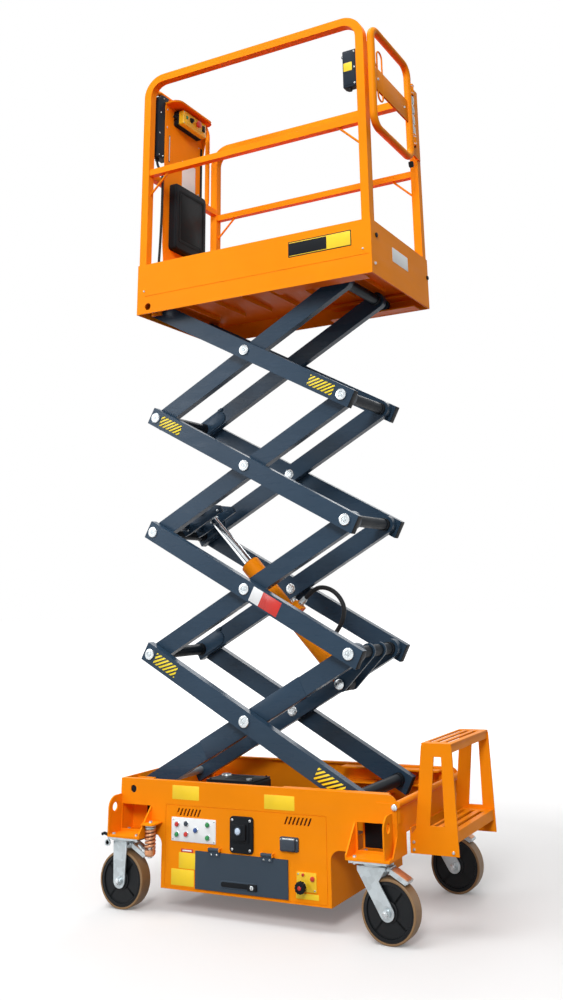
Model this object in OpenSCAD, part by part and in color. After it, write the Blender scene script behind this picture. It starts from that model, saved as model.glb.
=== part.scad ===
// Push-around aerial work platform: a wheeled chassis carries four levels
// of crossed arms, shown part raised, and a guarded platform on top.
// X runs along the chassis towards the ladder, Y across it and Z up.
// The origin is on the floor under the middle of the overall box.

/* [Scissor] */
// Distance between the end pins of an arm
arm_len = 1042; // [860:1:1260]
// Angle of the arms above the horizontal as stored
lift_angle = 28.3; // [20:0.1:40]
// Depth of an arm's tube
arm_depth = 74; // [60:1:76]
// Width of an arm's tube
arm_w = 34; // [26:1:42]
// Wall of an arm's tube
arm_wall = 4; // [3:0.5:8]
// Arm beyond its left pin
arm_tail = 30; // [24:1:36]
// Arm beyond its right pin
arm_nose = 48; // [40:1:56]
// Height of the lower pivots above the floor
pivot_z = 413; // [405:1:430]
// Outer face of the outer arms from the middle plane
outer_face_y = 226; // [210:1:236]
// Radius of the pins
pin_r = 14; // [10:0.5:16]
// Radius of the cross tubes
tube_r = 22; // [18:1:26]
// Radius of the guide rollers
roller_r = 24; // [20:1:26]

/* [Chassis] */
// Chassis beyond the left pivots
frame_tail = 60; // [58:1:90]
// Chassis beyond the right pins of the arms laid flat
frame_nose = 83; // [70:1:130]
// Width of the chassis
frame_w = 618; // [600:1:760]
// Top of the chassis side beams
frame_top = 450; // [440:1:480]
// Underside of the chassis side beams
beam_z = 262; // [240:1:270]
// Underside of the battery compartment
pan_z = 80; // [50:1:120]
// Start of the battery compartment from the left pivots
pan_x = 140; // [130:1:170]
// Length of the battery compartment
pan_len = 726; // [660:1:740]
// Thickness of the chassis sheets
sheet = 6; // [4:0.5:8]

/* [Battery door] */
// Start of the door from the left pivots
door_x = 298; // [270:1:330]
// Width of the door
door_w = 397; // [300:1:420]
// Height of the door
door_h = 126; // [100:1:130]
// Thickness of the door
door_t = 4; // [3:0.5:6]

/* [Casters] */
// Wheel diameter
wheel_d = 200; // [160:1:210]
// Tread width
tread_w = 54; // [40:1:60]
// Thickness of the tyre on the wheel core
tread_t = 8; // [6:0.5:24]
// Radius of the wheel axles
axle_r = 10; // [7:0.5:12]
// Left wheel axles from the left pivots
left_wheel_x = -20; // [-30:1:0]
// Right swivel axes from the right end of the chassis
swivel_inset = 83; // [75:1:95]
// Distance of a right axle behind its swivel axis
trail = 54; // [40:1:60]
// Wheel centres from the middle plane
track_y = 318; // [310:1:330]
// Thickness of a fork's leg
leg_t = 5; // [4:0.5:8]
// Outer edge of the caster brackets from the middle plane
bracket_y = 385; // [380:1:400]

/* [Ladder] */
// Ladder's outer edge beyond the chassis
ladder_reach = 180; // [150:1:220]
// Top of the ladder
ladder_top = 606; // [560:1:640]
// Half of the ladder's width
ladder_half = 203; // [160:1:240]

/* [Cylinder] */
// Lower cylinder pin along its arm
foot_u = 875; // [860:1:880]
// Lower cylinder pin across its arm
foot_v = -48; // [-52:1:-44]
// Upper cylinder pin along its arm
head_u = 155; // [150:1:165]
// Upper cylinder pin across its arm
head_v = 21; // [15:1:25]
// Outer radius of the barrel
barrel_r = 34; // [30:0.5:34]
// Radius of the rod
rod_r = 18; // [15:0.5:22]
// Barrel from its pin to its mouth
barrel_len = 650; // [600:1:660]

/* [Platform] */
// Platform beyond the left pivots
deck_tail = 60; // [58:1:80]
// Platform beyond the right pins of the arms laid flat
deck_nose = 71; // [60:1:120]
// Width of the platform
deck_w = 616; // [600:1:760]
// Floor of the platform above the upper pins
floor_rise = 51; // [48:1:70]
// Side sheets below the upper pins
skirt_drop = 32; // [30:1:45]
// Height of the toe boards
toe_h = 151; // [120:1:170]
// Top of the near guard rail above the floor
rail_h = 1111; // [1000:1:1200]
// Top of the far guard rail above the floor
far_rail_h = 978; // [940:1:1200]
// Top of the near middle rail above the floor
mid_h = 625; // [500:1:680]
// Top of the far middle rail above the floor
far_mid_h = 592; // [500:1:680]
// Side of the guard rails' square tube
rail_t = 38; // [30:1:42]
// Outer bend radius of the guard rails
bend_r = 105; // [80:1:120]

/* [Gate] */
// Gate's free end from the middle plane
gate_y0 = -300; // [-304:1:-280]
// Width of the gate
gate_w = 436; // [400:1:460]
// Bottom of the gate above the floor
gate_z = 558; // [500:1:600]
// Height of the gate
gate_h = 502; // [480:1:540]
// Diameter of the gate's tube
gate_t = 34; // [28:1:38]

/* [Hidden] */
$fn = 48;
// running clearance of a pin, and the gap between faces that move
run_fit = 0.05;
face_gap = 0.3;
arm_gap = 6;

// the arms, level by level, from the lower left pivot
levels = 4;
frame_len = frame_tail + arm_len + frame_nose;
deck_len = deck_tail + arm_len + deck_nose;
// ends that stop short under the platform's floor
short_end = 24;
span = arm_len * cos(lift_angle);
rise = arm_len * sin(lift_angle);
outer_y = outer_face_y - arm_w;
inner_y = outer_y - arm_gap - arm_w;
inner_face_y = inner_y + arm_w;
head_t = 6;
head_r = 20;
boss_r = 27;
roller_y = outer_face_y + 8;
roller_w = 24;
upper_z = pivot_z + levels * rise;
floor_z = upper_z + floor_rise;

// the overall box, whose middle is the origin
left_edge = left_wheel_x - wheel_d / 2;
right_edge = frame_len - frame_tail + ladder_reach;
pivot_x = -(left_edge + right_edge) / 2;

half_w = frame_w / 2;
frame_x1 = frame_len - frame_tail;
deck_x0 = -deck_tail;
deck_x1 = deck_len - deck_tail;
deck_y = deck_w / 2;

// where the guide rollers run: fully lowered and fully raised arm angles
low_angle = 4.6;
high_angle = 50;
track_x0 = arm_len * cos(high_angle) - roller_r - 6;
track_x1 = arm_len * cos(low_angle) + roller_r + 6;

// casters
core_d = wheel_d - 2 * tread_t;
swivel_x = frame_x1 - swivel_inset;
plate_t = 7;
plate_len = 140;
plate_w = 124;
plate_z = beam_z - 8 - plate_t;
leg_gap = 68;
right_wheel_x = swivel_x + trail;
caster_d = plate_z - 4;

// the cylinder runs from its foot on the first inner frame to its head
// on the third one
function arm_point(u, v, level) = [
    u * cos(lift_angle) - v * sin(lift_angle),
    pivot_z + level * rise + u * sin(lift_angle) + v * cos(lift_angle)
];
foot = arm_point(foot_u, foot_v, 0);
head = arm_point(head_u, head_v, 2);
cyl_len = norm(head - foot);
cyl_angle = atan2(head[1] - foot[1], foot[0] - head[0]);
cyl_pin_r = 15;
eye_r = 30;
rod_eye_r = 26;
cheek_y = 46;
cheek_t = 10;
foot_tube = [arm_len, 0];
head_tube = [62, 0];
head_tube_r = 18;

// colours
orange = "#f58a1f";
slate = "#3f4f60";
zinc = "#b5c0c8";
dark = "#22262b";
tan_tread = "#9a7a55";
yellow = "#ffdd00";

// ---- helpers -------------------------------------------------------

// children measured from the lower left pivots, Z from the floor
module from_pivot() translate([pivot_x, 0, 0]) children();

// the same, with Z from the platform's floor
module on_floor() translate([pivot_x, 0, floor_z]) children();

module both_sides() {
    children();
    mirror([0, 1, 0]) children();
}

// a box between two corners
module block(low, high) translate(low) cube(high - low);

// a round bar along Y at [x, z]
module bar_y(r, y0, y1, at = [0, 0])
    translate([at[0], y0, at[1]]) rotate([-90, 0, 0]) cylinder(r = r, h = y1 - y0);

// a round bar along X or Z
module bar_x(r, x0, x1, at) translate([x0, at[0], at[1]]) rotate([0, 90, 0]) cylinder(r = r, h = x1 - x0);
module bar_z(r, z0, z1, at) translate([at[0], at[1], z0]) cylinder(r = r, h = z1 - z0);

// a flat outline in X and Z made into a plate from y0 to y0 + t
module plate_xz(y0, t) translate([0, y0 + t, 0]) rotate([90, 0, 0]) linear_extrude(t) children();

// a flat outline in Y and Z made into a plate from x0 to x0 + t
module plate_yz(x0, t) translate([x0, 0, 0]) rotate([90, 0, 90]) linear_extrude(t) children();

// an arch outline: upright sides and two round top corners
module arch(w, h, r) {
    square([w, h - r]);
    translate([r, 0]) square([w - 2 * r, h]);
    for (x = [r, w - r]) translate([x, h - r]) circle(r);
}

// a link outline: a straight strip with round ends
module link(length, r) {
    translate([0, -r]) square([length, 2 * r]);
    circle(r);
    translate([length, 0]) circle(r);
}

// ---- scissor arms --------------------------------------------------

// local frame of an arm: +X from its left pin towards its right pin
module inner_place(level)
    translate([pivot_x, 0, pivot_z + (level - 1) * rise]) rotate([0, -lift_angle, 0]) children();
module outer_place(level)
    translate([pivot_x, 0, pivot_z + level * rise]) rotate([0, lift_angle, 0]) children();

// one tube with a boss at each of its three pins; its right end is cut
// square, nose beyond the pin, or closed by a round cap
module arm(y0, tail = arm_tail, nose = 0) {
    difference() {
        block([-tail, y0, -arm_depth / 2], [arm_len + nose, y0 + arm_w, arm_depth / 2]);
        block([-tail - 1, y0 + arm_wall, arm_wall - arm_depth / 2],
              [arm_len + nose + 1, y0 + arm_w - arm_wall, arm_depth / 2 - arm_wall]);
    }
    if (nose == 0) bar_y(arm_depth / 2, y0, y0 + arm_w, [arm_len, 0]);
    for (u = [0, arm_len / 2, arm_len])
        bar_y(boss_r, y0 + arm_wall / 2, y0 + arm_w - arm_wall / 2, [u, 0]);
}

// a pin that starts inside the arm at y0 and ends in a flat head
module headed_pin(u, y0) {
    bar_y(pin_r, y0, outer_face_y + face_gap + 1, [u, 0]);
    bar_y(head_r, outer_face_y + face_gap, outer_face_y + head_t, [u, 0]);
}

module guide_roller(u, y0) {
    bar_y(pin_r, y0, roller_y + 1, [u, 0]);
    bar_y(roller_r, roller_y, roller_y + roller_w, [u, 0]);
}

// the cheeks that hold the cylinder's lower pin, welded to a cross tube
module foot_cheeks() {
    pin = [foot_u, foot_v];
    way = pin - foot_tube;
    both_sides() translate([foot_tube[0], 0, foot_tube[1]]) rotate([0, -atan2(way[1], way[0]), 0])
        plate_xz(cheek_y, cheek_t) link(norm(way), eye_r);
    bar_y(cyl_pin_r, -cheek_y - cheek_t - 8, cheek_y + cheek_t + 8, pin);
}

// the cheeks of its upper pin: two broad plates with a stub pin each
module head_cheeks() {
    low = -arm_depth / 2;
    top = head_v + 25;
    both_sides() {
        plate_xz(cheek_y, cheek_t)
            polygon([[34, low + 3], [34, 8], [head_u - 35, top], [head_u + 20, top],
                     [head_u + 97, -10], [head_u + 97, low], [60, low]]);
        bar_y(cyl_pin_r, rod_eye_half + 2, cheek_y + cheek_t + 8, [head_u, head_v]);
    }
}

module inner_frame(level) {
    color(slate) inner_place(level) difference() {
        union() {
            both_sides() {
                arm(inner_y);
                headed_pin(arm_len / 2, inner_y + arm_w / 2);
                if (level < levels) headed_pin(arm_len, inner_y + arm_w / 2);
                else guide_roller(arm_len, inner_y + arm_w / 2);
            }
            bar_y(tube_r, -inner_y - 1, inner_y + 1, [arm_len, 0]);
            if (level == 1) foot_cheeks();
            if (level == 3) {
                bar_y(head_tube_r, -inner_y - 1, inner_y + 1, head_tube);
                head_cheeks();
            }
        }
        both_sides() bar_y((level == 1 ? shaft_r : pin_r) + run_fit, inner_y - 1, inner_face_y + 1);
    }
}

module outer_frame(level) {
    open_tube = level == levels ? outer_y + 1 : inner_y - 5;
    color(slate) outer_place(level) difference() {
        union() {
            both_sides() {
                arm(outer_y, level == levels ? short_end : arm_tail, arm_nose);
                bar_y(pin_r, 0, outer_face_y + head_t + (level == levels ? 12 : 0));
                bar_y(head_r, outer_face_y - 1, outer_face_y + head_t - 2);
            }
            bar_y(tube_r, -open_tube, open_tube);
            if (level == 1) {
                bar_y(tube_r, -outer_y - 1, outer_y + 1, [arm_len, 0]);
                both_sides() guide_roller(arm_len, outer_y + arm_w / 2);
            }
        }
        both_sides() {
            bar_y(pin_r + run_fit, outer_y - 1, outer_face_y + 1, [arm_len / 2, 0]);
            if (level > 1) bar_y(pin_r + run_fit, outer_y - 1, outer_face_y + 1, [arm_len, 0]);
        }
    }
}

// ---- lift cylinder -------------------------------------------------

rod_eye_half = 22;
// step of the barrel's collar
collar = 7;
// radial clearance of the rod in the barrel
bore_fit = 0.06;
// the rod's inner end from the cylinder's foot, as stored
rod_start = 310;

// local frame of the cylinder: +X from its foot towards its head
module cylinder_place()
    translate([pivot_x + foot[0], 0, foot[1]]) rotate([0, 180 + cyl_angle, 0]) mirror([0, 0, 1]) children();

module cylinder_barrel() {
    color(orange) cylinder_place() difference() {
        union() {
            bar_x(barrel_r, 26, barrel_len, [0, 0]);
            bar_x(barrel_r + collar, barrel_len - 80, barrel_len, [0, 0]);
            bar_y(eye_r - 2, -25, 25);
            block([0, -25, 2 - eye_r], [40, 25, eye_r - 2]);
            // blocks for the two ends of the hose
            block([port_x - 22, -20, barrel_r - 4], [port_x + 22, 20, port_z]);
            block([return_x - 14, -14, barrel_r - 4], [return_x + 14, 14, barrel_r + 8]);
        }
        bar_x(rod_r + bore_fit, 60, barrel_len + 1, [0, 0]);
        bar_y(cyl_pin_r + run_fit, -26, 26);
    }
}

module cylinder_rod() {
    color("#d4d8dc") cylinder_place() difference() {
        union() {
            bar_x(rod_r, rod_start, cyl_len - rod_eye_r + 4, [0, 0]);
            bar_y(rod_eye_r, -rod_eye_half, rod_eye_half, [cyl_len, 0]);
        }
        bar_y(cyl_pin_r + 0.5, -rod_eye_half - 1, rod_eye_half + 1, [cyl_len, 0]);
    }
}

// a round tube swept along points, as one closed mesh
function unit(v) = v / norm(v);
function tangent(p, i) = unit(p[min(i + 1, len(p) - 1)] - p[max(i - 1, 0)]);
function side_of(t) = unit(cross(t, abs(t[2]) < 0.9 ? [0, 0, 1] : [0, 1, 0]));
function ring(p, i, r, n) =
    let (t = tangent(p, i), a = side_of(t), b = cross(t, a))
    [for (k = [0 : n - 1]) p[i] + r * (cos(360 * k / n) * a + sin(360 * k / n) * b)];
module swept_tube(points, r, n = 8) {
    rings = len(points);
    polyhedron(
        points = [for (i = [0 : rings - 1]) each ring(points, i, r, n)],
        faces = concat(
            [[for (k = [0 : n - 1]) k]],
            [for (i = [0 : rings - 2], k = [0 : n - 1])
                [i * n + (k + 1) % n, i * n + k, (i + 1) * n + k, (i + 1) * n + (k + 1) % n]],
            [[for (k = [n - 1 : -1 : 0]) (rings - 1) * n + k]]
        )
    );
}

// points on a smooth curve through a short list of knots
function knot(p, i) = p[max(0, min(len(p) - 1, i))];
function spline(p, i, t) = 0.5 * (2 * knot(p, i)
    + (knot(p, i + 1) - knot(p, i - 1)) * t
    + (2 * knot(p, i - 1) - 5 * knot(p, i) + 4 * knot(p, i + 1) - knot(p, i + 2)) * t * t
    + (3 * knot(p, i) - knot(p, i - 1) - 3 * knot(p, i + 1) + knot(p, i + 2)) * t * t * t);
function smooth(p, steps) = concat(
    [for (i = [0 : len(p) - 2], s = [0 : steps - 1]) spline(p, i, s / steps)],
    [p[len(p) - 1]]);

// the hose leaves one port of the barrel in a wide arc and comes back
// lower down; points are in the cylinder's own frame
port_x = 360;
port_z = barrel_r + 26;
return_x = 165;
hose_r = 9;
hose_knots = [
    [port_x, 0, port_z + 0.3], [port_x, 0, port_z + 40], [350, 0, 160], [312, 0, 196], [261, 0, 208],
    [210, 0, 194], [178, 0, 150], [return_x, 0, 84], [return_x, 0, barrel_r + 8.3]
];
module hydraulic_hose() {
    color(dark) cylinder_place() swept_tube(smooth(hose_knots, 4), hose_r);
}

// ---- chassis -------------------------------------------------------

shaft_r = 15;
lug_y = 200;
lug_t = 12;
// caster pockets in the side beams, as [start, top length, foot length]
pocket_top = 358;
pocket_z = beam_z + 8;
bracket_left = [-frame_tail, 150];
bracket_right = [frame_x1 - 165, 165];
gusset_t = 6;

corner_r = 30;
fillet_r = 36;
// cover over the battery compartment, as a shallow line cut round it
cover_x = pan_x + 17;
cover_top = 366;
cover_line = 2;
vent_rows = [204, 678];
vent_count = 7;
vent_pitch = 16;
vent_z = cover_top - 35;
// the right tie-down eyes stand this far inside the end of the chassis
eye_inset = 16;

// fillet between the battery compartment and the beam's underside
module outline_fillet() {
    difference() {
        square([fillet_r, fillet_r + 1]);
        translate([fillet_r, 0]) circle(fillet_r);
    }
}

// outline of one long side, in X and Z; the one with the door has vents
module side_outline(door) {
    difference() {
        union() {
            translate([-frame_tail, beam_z]) square([frame_len, frame_top - beam_z - corner_r]);
            translate([-frame_tail, beam_z]) square([frame_len - corner_r, frame_top - beam_z]);
            translate([frame_x1 - corner_r, frame_top - corner_r]) circle(corner_r);
            translate([pan_x, pan_z]) square([pan_len, beam_z - pan_z + 1]);
            translate([pan_x + pan_len, beam_z - fillet_r]) outline_fillet();
            translate([pan_x, beam_z - fillet_r]) mirror([1, 0]) outline_fillet();
        }
        if (door) for (x0 = vent_rows, i = [0 : vent_count - 1]) translate([x0 + i * vent_pitch, vent_z])
            polygon([[0, 0], [7, 0], [19, 26], [12, 26]]);
        polygon([[-frame_tail + 8, pocket_top], [88, pocket_top], [42, pocket_z], [-frame_tail + 8, pocket_z]]);
        polygon([[bracket_right[0] + 12, pocket_top], [frame_x1 - 46, pocket_top],
                 [frame_x1 - 46, pocket_z], [bracket_right[0] + 12, pocket_z]]);
        translate([0, pivot_z]) circle(14);
        if (door) translate([door_x + 8, pan_z + 20]) square([door_w - 16, door_h - 16]);
    }
}

// line round the removable cover, on one long side
module cover_groove() {
    y = half_w - 1.5;
    w = cover_line;
    x1 = pan_x + pan_len - 14;
    block([cover_x, y, cover_top], [x1, y + 2, cover_top + w]);
    for (x = [cover_x, x1 - w]) block([x, y, pan_z + 6], [x + w, y + 2, cover_top + 1]);
    block([cover_x, y, pan_z + 6], [x1, y + 2, pan_z + 6 + w]);
}

// gusset with a rounded top and a tie-down hole, in Y and Z
module eye_gusset() {
    difference() {
        union() {
            translate([half_w - 10, beam_z]) square([bracket_y - half_w + 10, 92]);
            translate([half_w - 10, beam_z]) square([bracket_y - half_w - 30, 132]);
            translate([bracket_y - 40, beam_z + 92]) circle(40);
        }
        translate([bracket_y - 36, tie_z]) circle(tie_r);
    }
}
tie_z = beam_z + 92;
tie_r = 16;

// inner wall of a pocket, clear of the outer arms
pocket_y = outer_face_y + 6;
module caster_bracket(at, eye_left) {
    x0 = at[0];
    x1 = at[0] + at[1];
    block([x0, pocket_y, beam_z - 8], [x1, bracket_y, beam_z]);
    plate_yz(eye_left ? x0 : x1 - eye_inset - gusset_t, gusset_t) eye_gusset();
    plate_yz(eye_left ? x1 - gusset_t : x0, gusset_t)
        polygon([[half_w - sheet, beam_z - 1], [bracket_y, beam_z - 1], [bracket_y, beam_z + 8],
                 [half_w, pocket_top], [half_w - sheet, pocket_top]]);
    block([x0, pocket_y, beam_z - 1], [x1, pocket_y + sheet, pocket_top + 6]);
    block([x0, pocket_y, pocket_top], [x1, half_w, pocket_top + 6]);
}

// right end: a strip across the top, a foot under each side and a round
// bar on the top edge, behind a rounded pad on each side sheet
end_bar_r = 12;
pad_z = [pocket_top + 2, frame_top - 26];
module right_end() {
    strip_z = frame_top - 128;
    y = half_w - 1;
    block([frame_x1 - sheet, -y, strip_z], [frame_x1, y, frame_top - corner_r]);
    bar_y(end_bar_r, -y, y, [frame_x1, frame_top - corner_r]);
    both_sides() {
        plate_yz(frame_x1 - sheet, sheet)
            polygon([[pocket_y, beam_z - 8], [half_w + 46, beam_z - 8], [y, strip_z + 1], [pocket_y, strip_z + 1]]);
        translate([frame_x1 - 74, y - 28, pad_z[0]]) linear_extrude(pad_z[1] - pad_z[0]) {
            square([78, 8]);
            square([54, 32]);
            translate([54, 8]) circle(24);
        }
    }
}

module chassis_frame() {
    color(orange) from_pivot() difference() {
        union() {
            plate_xz(-half_w, sheet) side_outline(true);
            plate_xz(half_w - sheet, sheet) side_outline(false);
            block([-frame_tail, -half_w + 1, beam_z], [sheet - frame_tail, half_w - 1, frame_top]);
            right_end();
            both_sides() {
                // flange along the top edge
                block([-frame_tail, half_w - 22, frame_top - sheet], [frame_x1 - corner_r, half_w - 1, frame_top]);
                caster_bracket(bracket_left, true);
                caster_bracket(bracket_right, false);
                roller_track(half_w - 1, pivot_z);
                // lug of the lower left pivot, on the end plate
                block([-frame_tail + 1, lug_y, pivot_z - 40], [26, lug_y + lug_t, pivot_z + 26]);
            }
            door_hinge_pins();
            // cross beams under the arms
            for (x = [pan_x + 40, pan_x + pan_len - 60])
                block([x, -half_w + 1, beam_z + 40], [x + 40, half_w - 1, beam_z + 80]);
        }
        both_sides() {
            bar_y(shaft_r, lug_y - 1, lug_y + lug_t + 1, [0, pivot_z]);
            cover_groove();
        }
    }
}

// two flanges that a guide roller runs between, reaching in from y1
module roller_track(y1, z) {
    y0 = roller_y;
    for (s = [-1, 1])
        block([track_x0, y0, z + s * (roller_r + face_gap) + (s < 0 ? -sheet : 0)],
              [track_x1, y1, z + s * (roller_r + face_gap) + (s < 0 ? 0 : sheet)]);
}

module battery_tray() {
    color(orange) from_pivot() {
        block([pan_x, -half_w + sheet, pan_z], [pan_x + pan_len, half_w - sheet, pan_z + sheet]);
        for (x = [pan_x, pan_x + pan_len - sheet])
            block([x, -half_w + sheet, pan_z + sheet - 1], [x + sheet, half_w - sheet, beam_z]);
    }
}

module control_plate() {
    color("white") from_pivot() {
        block([186, -half_w - 2, 244], [386, -half_w, 326]);
        for (p = [[212, 302], [212, 267], [254, 306], [254, 270], [297, 286], [351, 308], [351, 264]])
            bar_y(9, -half_w - 10, -half_w - 2 + 1, p);
    }
}

module isolator_switch() {
    color(dark) from_pivot() {
        block([451, -half_w - 8, 224], [551, -half_w, 346]);
        block([468, -half_w - 24, 268], [528, -half_w - 8 + 1, 324]);
        bar_y(12, -half_w - 30, -half_w - 24 + 1, [496, 300]);
    }
}

module power_inlet() {
    color("#3a4a5c") from_pivot() {
        block([663, -half_w - 6, 245], [739, -half_w, 292]);
        block([671, -half_w - 16, 250], [731, -half_w - 6 + 1, 287]);
    }
}

module lowering_knob() {
    from_pivot() {
        color(yellow) block([729, -half_w - 3, 117], [812, -half_w, 184]);
        color(dark) bar_y(15, -half_w - 34, -half_w - 3 + 1, [756, 140]);
    }
}

module battery_pack() {
    color(dark) from_pivot()
        block([pan_x + 40, -half_w + 40, pan_z + sheet], [pan_x + 520, half_w - 40, pan_z + 170]);
}

module hydraulic_tank() {
    color(dark) from_pivot() block([pan_x + 80, -140, beam_z - 6], [pan_x + 306, 0, frame_top - 18]);
}

module pump_unit() {
    color("#4a5058") from_pivot() {
        block([pan_x + 550, -half_w + 60, pan_z + sheet], [pan_x + 690, half_w - 60, pan_z + 150]);
        bar_y(46, -180, 60, [pan_x + 606, pan_z + 170]);
    }
}

module pivot_shaft() {
    color(zinc) from_pivot() bar_y(shaft_r, -lug_y - lug_t, lug_y + lug_t, [0, pivot_z]);
}

// one side plate of the ladder, in X and Z from the chassis end
module ladder_side() {
    r = 14;
    left = ladder_reach - 124;
    right = ladder_reach - 8;
    difference() {
        union() {
            polygon([[0, beam_z + 40], [0, beam_z - 12], [ladder_reach, beam_z - 12], [right, ladder_top - r],
                     [right - r, ladder_top], [left + r, ladder_top], [left, ladder_top - r], [24, 330]]);
            for (x = [left + r, right - r]) translate([x, ladder_top - r]) circle(r);
        }
        polygon([[ladder_reach - 77, ladder_top - 44], [ladder_reach - 49, ladder_top - 44],
                 [ladder_reach - 48, 340], [ladder_reach - 103, 340]]);
    }
}

module step_slots(x0, x1, z) {
    for (x = [x0 : (x1 - x0) / 3 : x1 - 1])
        block([x + 6, -ladder_half + 40, z - 10], [x + 22, ladder_half - 40, z + 20]);
}

module access_ladder() {
    s = 5;
    color(orange) translate([pivot_x + frame_x1, 0, 0]) difference() {
        union() {
            both_sides() plate_xz(ladder_half - s, s) ladder_side();
            block([ladder_reach - 122, 1 - ladder_half, ladder_top - s], [ladder_reach - 10, ladder_half - 1, ladder_top]);
            block([ladder_reach - 126, 1 - ladder_half, 322], [ladder_reach - 6, ladder_half - 1, 322 + s]);
            block([ladder_reach - 12, 1 - ladder_half, 292], [ladder_reach - 6, ladder_half - 1, 324]);
            block([ladder_reach - 18, 1 - ladder_half, ladder_top - 30], [ladder_reach - 13, ladder_half - 1, ladder_top - 1]);
            block([0, 1 - ladder_half, beam_z - 8], [6, ladder_half - 1, 330]);
        }
        step_slots(ladder_reach - 118, ladder_reach - 22, ladder_top);
        step_slots(ladder_reach - 122, ladder_reach - 16, 322);
    }
}

// door hung from two hinges along its top edge
door_z = pan_z + 12;
door_top = door_z + door_h;
hinge_xs = [door_x + 62, door_x + door_w - 108];
leaf_len = 46;
door_pin_r = 3;
door_axis = [-half_w - 8, door_top + 10];
module battery_door() {
    y = -half_w - 1;
    color("#38475a") from_pivot() {
        block([door_x, y - door_t, door_z], [door_x + door_w, y, door_top]);
        for (x = hinge_xs) difference() {
            union() {
                block([x, y - door_t - 3, door_top - 12], [x + leaf_len, y - door_t + 1, door_axis[1]]);
                bar_x(6, x, x + leaf_len, door_axis);
            }
            bar_x(door_pin_r + run_fit, x - 1, x + leaf_len + 1, door_axis);
        }
    }
}

// pin of each door hinge, held between two lugs on the side sheet
module door_hinge_pins() {
    lug = 5;
    for (x = hinge_xs) {
        bar_x(door_pin_r, x - lug, x + leaf_len + lug, door_axis);
        for (end = [x - lug, x + leaf_len + face_gap])
            block([end, door_axis[0] - 6, door_axis[1] - 6], [end + lug - face_gap, 1 - half_w, door_axis[1] + 6]);
    }
}

// ---- casters -------------------------------------------------------

// near side is negative Y; side is -1 or 1
module caster_plates() {
    color(zinc) from_pivot() both_sides() {
        for (x = [2 - frame_tail, swivel_x - plate_len / 2])
            block([x, track_y - plate_w / 2 + 4, plate_z],
                  [x + plate_len, track_y + plate_w / 2 + 4, plate_z + plate_t]);
    }
}

// fork leg outline from the crown down to the axle, in X and Z; a leg
// that slants back has a flare under the far end of its crown
module leg_outline(axle_dx, crown) {
    r = 26;
    slant = axle_dx > 0;
    hull() {
        translate([axle_dx, wheel_d / 2]) circle(r, $fn = 32);
        translate([-crown / 2, plate_z - 26]) square([slant ? crown / 2 : crown, 14]);
    }
    if (slant) polygon([[-crown / 2, plate_z - 12], [crown / 2, plate_z - 12], [crown / 2, plate_z - 20],
                        [24, plate_z - 60], [-20, plate_z - 60]]);
}

module fork(axle_dx, crown, crown_top) {
    for (y = [-leg_gap / 2 - leg_t, leg_gap / 2]) plate_xz(y, leg_t) leg_outline(axle_dx, crown);
    block([-crown / 2, -leg_gap / 2 - 1, plate_z - 26], [crown / 2, leg_gap / 2 + 1, plate_z - 12]);
    bar_z(38, plate_z - 13, crown_top, [0, 0]);
    bar_y(axle_r, -leg_gap / 2 - leg_t, leg_gap / 2 + leg_t, [axle_dx, wheel_d / 2]);
    for (s = [-1, 1])
        bar_y(15, min(s * (leg_gap / 2 + leg_t), s * (leg_gap / 2 + leg_t + 7)),
              max(s * (leg_gap / 2 + leg_t), s * (leg_gap / 2 + leg_t + 7)), [axle_dx, wheel_d / 2]);
}

// brake pedal that leaves the crown towards +X
module brake_pedal(x0) {
    translate([x0, 0, plate_z - 20]) rotate([0, 28, 0]) block([0, -24, -5], [78, 24, 5]);
    translate([x0 - 26, 0, plate_z - 20]) block([0, -20, -6], [34, 20, 6]);
}

module rigid_fork(side) {
    color(zinc) translate([pivot_x + left_wheel_x, side * track_y, 0]) {
        fork(0, 62, plate_z);
        brake_pedal(40);
    }
}

module swivel_fork(side) {
    color(zinc) translate([pivot_x + swivel_x, side * track_y, 0]) {
        fork(trail, 104, plate_z - face_gap);
        brake_pedal(58);
    }
}

// wheels: the core turns on the axle, and the tread is bonded to it
rim_w = tread_w - 4;
rim_t = 9;
web_t = 12;
hub_r = 32;
rib_t = 7;
rib_count = 4;
module core(x, side) {
    color(dark) translate([pivot_x + x, side * track_y, wheel_d / 2]) rotate([90, 0, 0]) difference() {
        union() {
            difference() {
                cylinder(d = core_d, h = rim_w, center = true);
                cylinder(d = core_d - 2 * rim_t, h = rim_w + 2, center = true);
            }
            cylinder(d = core_d - rim_t, h = web_t, center = true);
            for (a = [0 : 360 / rib_count : 359]) rotate(a + 50)
                translate([hub_r - 4, -rib_t / 2, -rim_w / 2 + 4]) cube([core_d / 2 - hub_r - rim_t / 2 + 4, rib_t, rim_w - 8]);
            cylinder(r = hub_r, h = rim_w, center = true);
            cylinder(r = 24, h = leg_gap - 4, center = true);
        }
        cylinder(r = axle_r + run_fit, h = leg_gap + 2, center = true);
    }
}

module tyre(x, side) {
    round_r = min(5, tread_t / 2);
    color(tan_tread) translate([pivot_x + x, side * track_y, wheel_d / 2]) rotate([90, 0, 0])
        rotate_extrude() difference() {
            union() {
                translate([core_d / 2, -tread_w / 2]) square([(wheel_d - core_d) / 2 - round_r, tread_w]);
                translate([core_d / 2, -tread_w / 2 + round_r]) square([(wheel_d - core_d) / 2, tread_w - 2 * round_r]);
                for (z = [-1, 1]) translate([wheel_d / 2 - round_r, z * (tread_w / 2 - round_r)]) circle(round_r);
            }
        }
}

// ---- platform ------------------------------------------------------

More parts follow.
